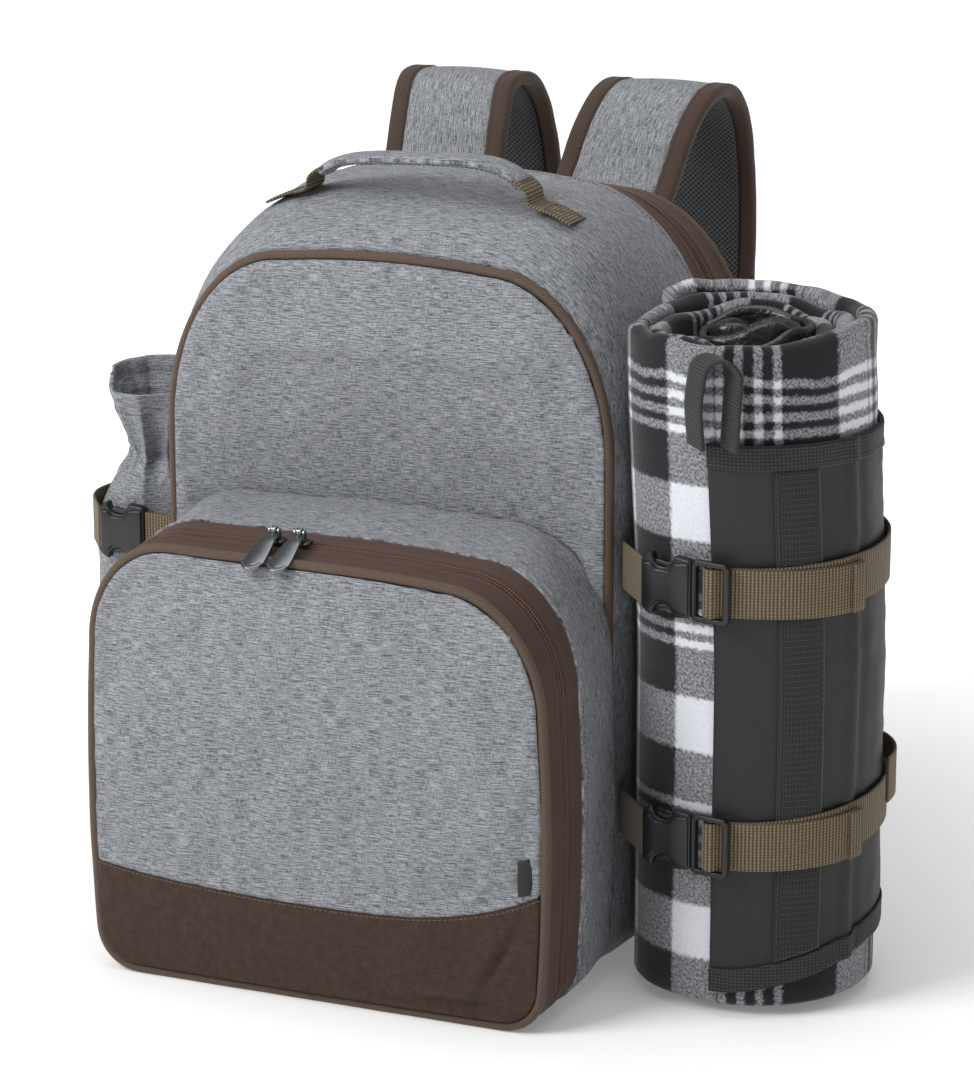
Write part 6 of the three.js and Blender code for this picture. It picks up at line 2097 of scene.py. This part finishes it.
@dataclass(frozen=True)
class RollSizes:
    """Sizes of the rolled blanket in millimetres, turns and degrees."""

    fleece_turns: float = 2.78
    fleece_pitch: float = 12.0
    lining_turns: float = 4.0
    lining_pitch: float = 7.5
    gap: float = 0.6
    tilt: float = 3.0
    wave: float = 2.0
    sink: float = 4.0
    hold: float = 0.78
    core_drop: float = 1.0
    core_wave: float = 6.0
    start: float = 153.0


def lean(z: Union[float, Points]) -> Union[float, Points]:
    """How far the roll leans to the right of its foot at a height."""
    return -9.0 * ease((z - 200.0) / 230.0)


class BlanketRoll(Pieces):
    """The rolled picnic blanket: plaid fleece outside, its shiny lining folded into the core."""

    sizes = RollSizes()

    def centre_line(self, outer: float, pitch: float, way: float) -> tuple[float, float]:
        """The radius and the angle of a layer after some turns."""
        size = self.sizes
        turns = math.floor(way)
        late = float(ease((way - turns - size.hold) / (1 - size.hold)))
        return outer - pitch * (turns + late), math.radians(size.start - 360 * way)

    def top(self, way: float) -> float:
        """The height of the fleece's upper edge."""
        size = self.sizes
        turn = math.radians(size.start - 360 * way)
        return ROLL_HEIGHT + size.tilt * math.sin(turn) + size.wave * math.cos(3 * turn) - size.sink * way

    def rolled(self, name: str, outer: float, pitch: float, turns: float, per_turn: int,
               top: Callable[[float], float], soft: float) -> bpy.types.Object:
        """A thick layer wound into a spiral.

        Args:
            name: the piece's name.
            outer: the radius it starts at.
            pitch: how far it comes in with each turn.
            turns: how often it goes round.
            per_turn: rings in one turn.
            top: the height of its upper edge after some turns.
            soft: how deep its swells are.
        Returns:
            The new object.
        """
        thick = pitch - self.sizes.gap
        count = int(turns * per_turn)
        ways = np.linspace(0, turns, count + 1)
        rings, uvs = [], []
        levels = 44
        for way in ways:
            radius, turn = self.centre_line(outer, pitch, way)
            high = top(way)
            bend = thick / 2
            profile = [(0.0, mix(ROLL_LOW + 4, high - bend, k / levels)) for k in range(levels + 1)]
            profile += [(bend - bend * math.cos(t), high - bend + bend * math.sin(t))
                        for t in np.linspace(0, math.pi, 9)[1:-1]]
            profile += [(thick, mix(high - bend, ROLL_LOW + 4, k / 10)) for k in range(11)]
            profile += [(bend + (bend - 1) * math.cos(t), ROLL_LOW + 4 - 4 * math.sin(t))
                        for t in np.linspace(0, math.pi, 5)[1:-1]]
            along = -math.radians(360 * way - self.sizes.start) * ROLL_RADIUS
            ring, flat = [], []
            for inward, z in profile:
                ring.append((ROLL_CENTRE[0] + (radius - inward) * math.cos(turn),
                             ROLL_CENTRE[1] + (radius - inward) * math.sin(turn), z))
                flat.append((along, z + inward * 0.5))
            rings.append(ring)
            uvs.append(flat)
        rings = np.array(rings)
        lifted = ruffle(rings, 48.0, soft, 101) * ease((rings[..., 2] - 20) / 60.0)
        up = ease((rings[..., 2] - 330) / 80.0)
        swell = ruffle(rings, 24.0, soft * 1.1, 103) * up
        away = rings - np.array([ROLL_CENTRE[0], ROLL_CENTRE[1], 0.0])
        away[..., 2] = 0
        away /= np.maximum(np.linalg.norm(away, axis=-1, keepdims=True), 1e-6)
        inside = ease((-0.35 - away[..., 0]) / 0.3)
        rings = rings + away * ((lifted + swell - soft * 0.4) * (1 - inside))[..., None]
        rings[..., 2] += ruffle(rings, 27.0, 5.0, 107) * ease((rings[..., 2] - 370) / 40.0)
        rings[..., 0] += lean(rings[..., 2])
        return loft(name, rings, np.array(uvs))

    def build(self) -> None:
        """Builds the fleece, the lining and the carrier."""
        size = self.sizes
        fleece = self.rolled("blanket_fleece_roll", ROLL_RADIUS, size.fleece_pitch, size.fleece_turns, 120,
                             self.top, 1.8)
        self.dress(fleece, Tone.FLEECE, "fleece", "blanket_fleece")
        core = ROLL_RADIUS - math.ceil(size.fleece_turns) * size.fleece_pitch + size.gap - SEAM_GAP
        lining = self.rolled("blanket_lining_roll", core, size.lining_pitch, size.lining_turns, 60,
                             lambda way: self.top(size.fleece_turns) - size.core_drop
                             + size.core_wave * math.sin(5 * way) + 3.0 * math.sin(17 * way), 2.2)
        self.dress(lining, Tone.LINING, "backing", "blanket_backing")


# ---------------------------------------------------------------- carrier and its straps

@dataclass(frozen=True)
class CarrierSizes:
    """Sizes of the carrier round the blanket in millimetres and degrees."""

    thick: float = 1.2
    low: float = 17.0
    high: float = 361.0
    low_rise: float = 24.0
    rise_over: float = 100.0
    first: float = -90.5
    last: float = 153.0
    hem: float = 15.0
    ladder: tuple[float, float] = (-62.0, -41.0)
    upper: float = 272.0
    lower: float = 113.0
    lower_climb: float = 12.0
    climb_over: float = 120.0
    seat_drop: float = 6.0
    front_seat: float = 9.0
    rear_seat: float = 128.0
    tail_to: float = -22.0
    buckle: float = -101.0
    slack: tuple[float, float, float, float] = (8.0, 58.0, 5.0, 22.0)
    loop_at: float = -85.0
    loop_wide: float = 25.0
    loop_high: float = 54.0
    loop_span: float = 22.0


WRAP_RADIUS = ROLL_RADIUS + 2 * (CarrierSizes().thick + SEAM_GAP) + RollSizes().gap


class Carrier(Pieces):
    """The nylon carrier: panel, hems, ladder strip, carry loop and two buckled straps."""

    sizes = CarrierSizes()

    def low(self, degrees: float) -> float:
        """The height of the carrier's lower edge."""
        size = self.sizes
        return size.low + size.low_rise * float(ease((degrees - size.first) / size.rise_over))

    def folds(self, degrees: Points, heights: Points) -> Points:
        """How far the cloth stands off the roll: soft swells and one sharp upright fold."""
        size = self.sizes
        free = ease((degrees + 86) / 8.0) * ease((149 - degrees) / 8.0)
        crease = -21.0 + 0.012 * (heights - 190)
        seam = 2.4 * bump(degrees, crease - 3.0, 6.0) * (degrees < crease)
        seam = seam - 0.7 * bump(degrees, crease + 3.5, 4.0)
        place = np.stack([degrees * 1.34, heights, np.zeros_like(heights)], 1)
        soft = ruffle(place * np.array([1.0, 0.4, 1.0]), 22.0, 1.4, 111)
        drape = ruffle(place * np.array([1.0, 1.3, 1.0]), 15.0, 0.6, 113)
        held = 1 - 0.7 * (bump(heights, size.upper, 30.0) + bump(heights, size.lower, 30.0))
        return (seam + np.maximum(soft + drape + 0.5, 0.0)) * held * free

    def on_cloth(self, radius: float, degrees: Sequence[float], heights: Sequence[float]) -> Points:
        """Points on the trims at angles and heights."""
        degrees, heights = np.broadcast_arrays(np.asarray(degrees, float), np.asarray(heights, float))
        reach = radius + self.folds(degrees, heights)
        turns = np.radians(degrees)
        return np.stack([ROLL_CENTRE[0] + lean(heights) + reach * np.cos(turns),
                         ROLL_CENTRE[1] + reach * np.sin(turns), heights], 1)

    def around(self, name: str, radius: float, first: float, last: float, low: Callable[[float], float],
               high: Callable[[float], float], rows: int,
               thick: Optional[float] = None) -> bpy.types.Object:
        """A curved strip of carrier cloth.

        Args:
            name: the piece's name.
            radius: its inner radius.
            first: the angle it starts at.
            last: the angle it ends at.
            low: its lower edge at an angle.
            high: its upper edge at an angle.
            rows: steps upwards.
            thick: its thickness, or none for the carrier's own.
        Returns:
            The new object.
        """
        thick = self.sizes.thick if thick is None else thick
        degrees = np.linspace(first, last, max(int((last - first) / 1.6), 6) + 1)
        points, uvs = [], []
        for degree in degrees:
            turn = math.radians(degree)
            heights = np.linspace(low(degree), high(degree), rows + 1)
            reach = radius + thick + self.folds(np.full(rows + 1, degree), heights)
            points.append(np.stack([ROLL_CENTRE[0] + lean(heights) + reach * math.cos(turn),
                                    ROLL_CENTRE[1] + reach * math.sin(turn), heights], 1))
            uvs.append(np.stack([np.full(rows + 1, turn * radius), heights], 1))
        away = (ROLL_CENTRE[0], ROLL_CENTRE[1], 190.0)
        return turned_out(Sheet(np.array(points), np.array(uvs)), away).solid(name, thick)

    def build(self) -> None:
        """Builds the panel, its trims and both straps."""
        size = self.sizes
        skin = ROLL_RADIUS + SEAM_GAP
        on_skin = skin + size.thick + SEAM_GAP
        panel = self.around("carrier_panel_cloth", skin, size.first, size.last, self.low,
                            lambda _: size.high, 110)
        self.dress(panel, Tone.CARRIER, "nylon", "carrier_panel")
        hems = (("lower", self.low, lambda d: self.low(d) + size.hem),
                ("upper", lambda _: size.high - size.hem, lambda _: size.high))
        for name, low, high in hems:
            hem = self.around("carrier_hem_" + name + "_tape", on_skin, size.first, size.last, low, high, 8)
            self.dress(hem, Tone.HEM, "nylon", "carrier_hem_" + name)
        ladder = self.around("carrier_ladder_tape", on_skin, *size.ladder,
                             lambda d: self.low(d) + size.hem + 1.2,
                             lambda _: size.high - size.hem - SEAM_GAP, 80, 1.4)
        self.dress(ladder, Tone.LADDER, "nylon", "carrier_ladder_strip")
        self.trim_rows(on_skin + size.thick)
        self.carry_loop()
        self.strap("upper", size.upper, 6.0)
        self.strap("lower", size.lower, size.lower_climb)
        self.slack_loop()

    def trim_rows(self, radius: float) -> None:
        """Stitch lines on the trims and dashes across the ladder strip."""
        size = self.sizes
        first, last = size.ladder
        dashes = []
        count = 7
        for k in range(int((size.high - size.low - 2 * size.hem) / 3.6)):
            z = size.low + size.hem + 12.0 + 3.6 * k
            if z > size.high - size.hem - 3:
                break
            if any(abs(z - at) < WEBBING_WIDE / 2 for at in (size.upper, size.lower)):
                continue
            for j in range(count):
                middle = mix(first + 2.6, last - 2.6, (j + 0.5) / count)
                dashes.append(self.on_cloth(radius + 0.25, (middle - 0.45, middle + 0.45), z))
        self.stitches("carrier_ladder_dashes", dashes, Tone.BLACK_THREAD, Row(1.5, 1.3, 0.3), "nylon")
        edges = []
        heights = np.linspace(size.low + 34, size.high - 17, 160)
        for degree in (first + 1.2, last - 1.2):
            edges.append(self.on_cloth(radius + 0.25, degree, heights))
        degrees = np.linspace(size.first + 2, size.last - 2, 200)
        for lift in (2.0, size.hem - 2.0):
            edges.append(self.on_cloth(radius + 0.05, degrees, [self.low(d) + lift for d in degrees]))
            edges.append(self.on_cloth(radius + 0.05, degrees, size.high - lift))
        self.stitches("carrier_stitches", edges, Tone.BLACK_THREAD, Row(3.4, 2.0, 0.26), "nylon")

    def carry_loop(self) -> None:
        """The ribbed loop that stands above the carrier's front edge."""
        size = self.sizes
        seat = Seat(ROLL_CENTRE, size.loop_at, 0.0)
        foot, half = size.high + SEAM_GAP, size.loop_span / 2
        reach = ROLL_RADIUS + 2 * SEAM_GAP + size.loop_wide / 2

        def place(across: float, z: float) -> tuple[float, float, float]:
            point = seat.at(across, reach)
            return point.x + float(lean(size.high)), point.y, z

        up = [place(-half, foot), place(-1.18 * half, foot + 0.45 * size.loop_high)]
        bow = [place(half * math.cos(t), foot + size.loop_high - half * (1 - math.sin(t)))
               for t in np.linspace(math.pi, 0, 7)]
        down = [place(0.91 * half, foot + 0.4 * size.loop_high), place(0.82 * half, foot)]
        turned = math.radians(-48.0)
        tape = webbing("carrier_carry_loop_tape", up + bow + down, size.loop_wide, 2.2,
                       (math.cos(turned), math.sin(turned), 0.0), tight=False)
        self.dress(tape, Tone.LADDER, "nylon", "carrier_carry_loop")

    def strap(self, name: str, height: float, climb: float) -> None:
        """A compression strap with its buckle, its wrap round the roll and its free tail.

        Args:
            name: upper or lower.
            height: its height at the buckle.
            climb: how far it rises round the roll.
        """
        size, buckle = self.sizes, BuckleSizes()
        radius = WRAP_RADIUS + WEB_THICK / 2
        tail_radius = radius + WEB_THICK + SEAM_GAP
        low = ROLL_RADIUS + buckle.lift
        centre = (ROLL_CENTRE[0] + float(lean(height)), ROLL_CENTRE[1])
        seat = Seat(centre, size.buckle, height)
        whole = buckle.body_long + SEAM_GAP + buckle.frame_long
        frame_at = (whole - buckle.frame_long) / 2
        level = low + buckle.thick / 2
        slot = (buckle.frame_long - 3 * buckle.bar) / 2

        def reach_of(r: float, shift: float) -> float:
            return size.buckle + math.degrees(math.asin(shift / r))

        tail_from = reach_of(tail_radius, frame_at + buckle.bar / 2 + slot)
        wrap_from = reach_of(radius, frame_at + buckle.bar / 2)
        loop = []
        for side, share, lift in LOOP_FORM:
            shift = side * (buckle.bar / 2 + share * slot)
            loop.append(tuple(seat.at(frame_at + shift, level + lift * buckle.frame_thick)))

        def risen(point: Sequence[float]) -> tuple[float, float, float]:
            turn = math.degrees(math.atan2(point[1] - centre[1], point[0] - centre[0]))
            way = 0.0 if turn < size.last - 360 else (turn - wrap_from) / size.climb_over
            return point[0], point[1], point[2] + climb * float(ease(way))

        rear_seat = POCKET_DEPTH + size.rear_seat
        rear = (beside_body(rear_seat), rear_seat, height)
        leaves = tangent_degrees(centre, radius, rear, -1)
        laid = arc(centre, tail_radius + 0.4, size.tail_to, tail_from, 40, height)
        tail = [(x, y, z - 4.0 * float(ease(1 - k / 40))) for k, (x, y, z) in enumerate(laid)]
        wrap = arc(centre, radius, wrap_from, leaves, 90, height)
        front_seat = POCKET_DEPTH + size.front_seat
        short = [(beside_body(front_seat), front_seat, height - size.seat_drop),
                 seat.at(-whole / 2 - 2 * SEAM_GAP, level)]
        fold = arc(centre, tail_radius + 2.6, size.tail_to - 6.5, size.tail_to - 0.4, 6, height - 4.0)
        fold += arc(centre, tail_radius + 1.5, size.tail_to + 0.6, size.tail_to + 0.6, 1, height - 4.0)[:1]
        long = [risen(point) for point in [*fold, *tail, *loop, *wrap, rear]]
        for part, path in (("short", short), ("long", long)):
            node = name + "_strap_" + part
            self.dress(webbing(node + "_tape", path), Tone.WEBBING, "webbing", node)
        maker = Buckle(self.looks, self.rows)
        maker.body(name + "_buckle_body_moulding", seat.matrix(-whole / 2, low), name + "_buckle_body")
        maker.frame(name + "_buckle_frame_moulding", seat.matrix(frame_at, level), name + "_buckle_frame")

    def slack_loop(self) -> None:
        """Slack webbing that stands off the lower strap behind the roll."""
        size = self.sizes
        first, last, stand, above = size.slack
        near = WRAP_RADIUS + WEB_THICK + SEAM_GAP + WEB_THICK / 2
        path = [arc(ROLL_CENTRE, near + stand * math.sin(math.pi * share), mix(first, last, share), 0, 1,
                    size.lower + above)[0] for share in np.linspace(0, 1, 20)]
        self.dress(webbing("lower_strap_slack_tape", path), Tone.WEBBING, "webbing", "lower_strap_loop")


# ---------------------------------------------------------------- studio

@dataclass(frozen=True)
class StudioSizes:
    """The camera and the lights, in degrees, metres and watts."""

    azimuth: float = 22.5
    elevation: float = 15.5
    lens: float = 3800 / 1080 * 36
    target: tuple[float, float, float] = (0.114, -0.1515, 0.308)
    distance: float = 2.2298
    key: float = 72.0
    fill: float = 3.5
    top: float = 26.0
    surround: float = 0.3


class Studio:
    """A pale floor that glows as painted light, soft lights and the camera."""

    sizes = StudioSizes()

    def build(self) -> None:
        """Builds the studio round the backpack."""
        self.camera()
        self.floor()
        self.lights()

    def camera(self) -> None:
        """Places the camera in front, to the right and a little above."""
        size = self.sizes
        data = bpy.data.cameras.new("camera")
        data.lens, data.sensor_width, data.sensor_fit = size.lens, 36.0, "AUTO"
        data.clip_end = 50.0
        camera = linked("camera", data)
        turn, climb = math.radians(size.azimuth), math.radians(size.elevation)
        away = Vector((math.sin(turn) * math.cos(climb), -math.cos(turn) * math.cos(climb), math.sin(climb)))
        target = Vector(size.target)
        camera.location = target + away * size.distance
        camera.rotation_euler = (-away).to_track_quat("-Z", "Y").to_euler()
        bpy.context.scene.camera = camera

    def floor(self) -> None:
        """A wide pale floor that glows: painted light, dimmer within about a metre of the pack."""
        work = bmesh.new()
        bmesh.ops.create_grid(work, x_segments=8, y_segments=8, size=9.0)
        mesh = bpy.data.meshes.new("floor")
        work.to_mesh(mesh)
        work.free()
        floor = linked("floor", mesh)
        layer = mesh.uv_layers.new(name="cloth")
        for loop in mesh.loops:
            layer.data[loop.index].uv = mesh.vertices[loop.vertex_index].co.xy
        look = Look("glowing_floor", Finish(0.9, specular=0.1))
        # painted light: the floor's emission climbs from 0.15 near the pack to 0.7 beyond 1.1 m, so the far
        # floor is painted white and the floor round the pack a painted shade darker
        away = look.sum("SQRT", look.sum("ADD", look.sum("MULTIPLY", look.u, look.u),
                                         look.sum("MULTIPLY", look.v, look.v)))
        glow = look.sum("MULTIPLY_ADD", look.step(away, 250.0, 1100.0), 0.55, 0.15)
        look.shader.inputs["Emission Color"].default_value = (1.0, 1.0, 1.0, 1.0)
        look.tree.links.new(glow, look.shader.inputs["Emission Strength"])
        mesh.materials.append(look.done(look.colours(0.5, 0xFAFAFA, 0xFAFAFA)))

    def area(self, name: str, place: Sequence[float], aim: Sequence[float], wide: float,
             power: float) -> None:
        """A square soft light."""
        data = bpy.data.lights.new(name, "AREA")
        data.shape, data.size, data.energy = "SQUARE", wide, power
        light = linked(name, data)
        light.location = place
        light.rotation_euler = (Vector(aim) - Vector(place)).to_track_quat("-Z", "Y").to_euler()

    def lights(self) -> None:
        """A soft key from the left front, a weak fill and light from the white surround."""
        size = self.sizes
        middle = (0.05, -0.1, 0.22)
        self.area("key", (-1.5, -2.0, 2.1), middle, 1.4, size.key)
        self.area("top", (0.0, 0.1, 2.6), middle, 2.0, size.top)
        self.area("fill", (2.3, -1.4, 1.0), middle, 1.6, size.fill)
        world = bpy.data.worlds.new("surround")
        world.use_nodes = True
        glow = world.node_tree.nodes["Background"].inputs
        glow[0].default_value, glow[1].default_value = (1.0, 1.0, 1.0, 1.0), size.surround
        scene = bpy.context.scene
        scene.world = world
        scene.view_settings.view_transform = "Standard"


# ---------------------------------------------------------------- the whole

@dataclass
class Backpack:
    """All sub-assemblies, which share their materials."""

    looks: dict[Tone, bpy.types.Material] = field(default_factory=make_materials)
    rows: RowMaker = field(default_factory=RowMaker)

    def build(self) -> None:
        """Builds every sub-assembly."""
        for kind in (MainBody, FrontPocket, ZipPulls, BackSide, CarryHandle, BottlePocket, BlanketRoll,
                     Carrier):
            LOG.info("-- %s", kind.__name__)
            kind(self.looks, self.rows).build()


def main() -> None:
    """Builds the studio and the backpack."""
    Studio().build()
    Backpack().build()


if __name__ == "__main__":
    main()
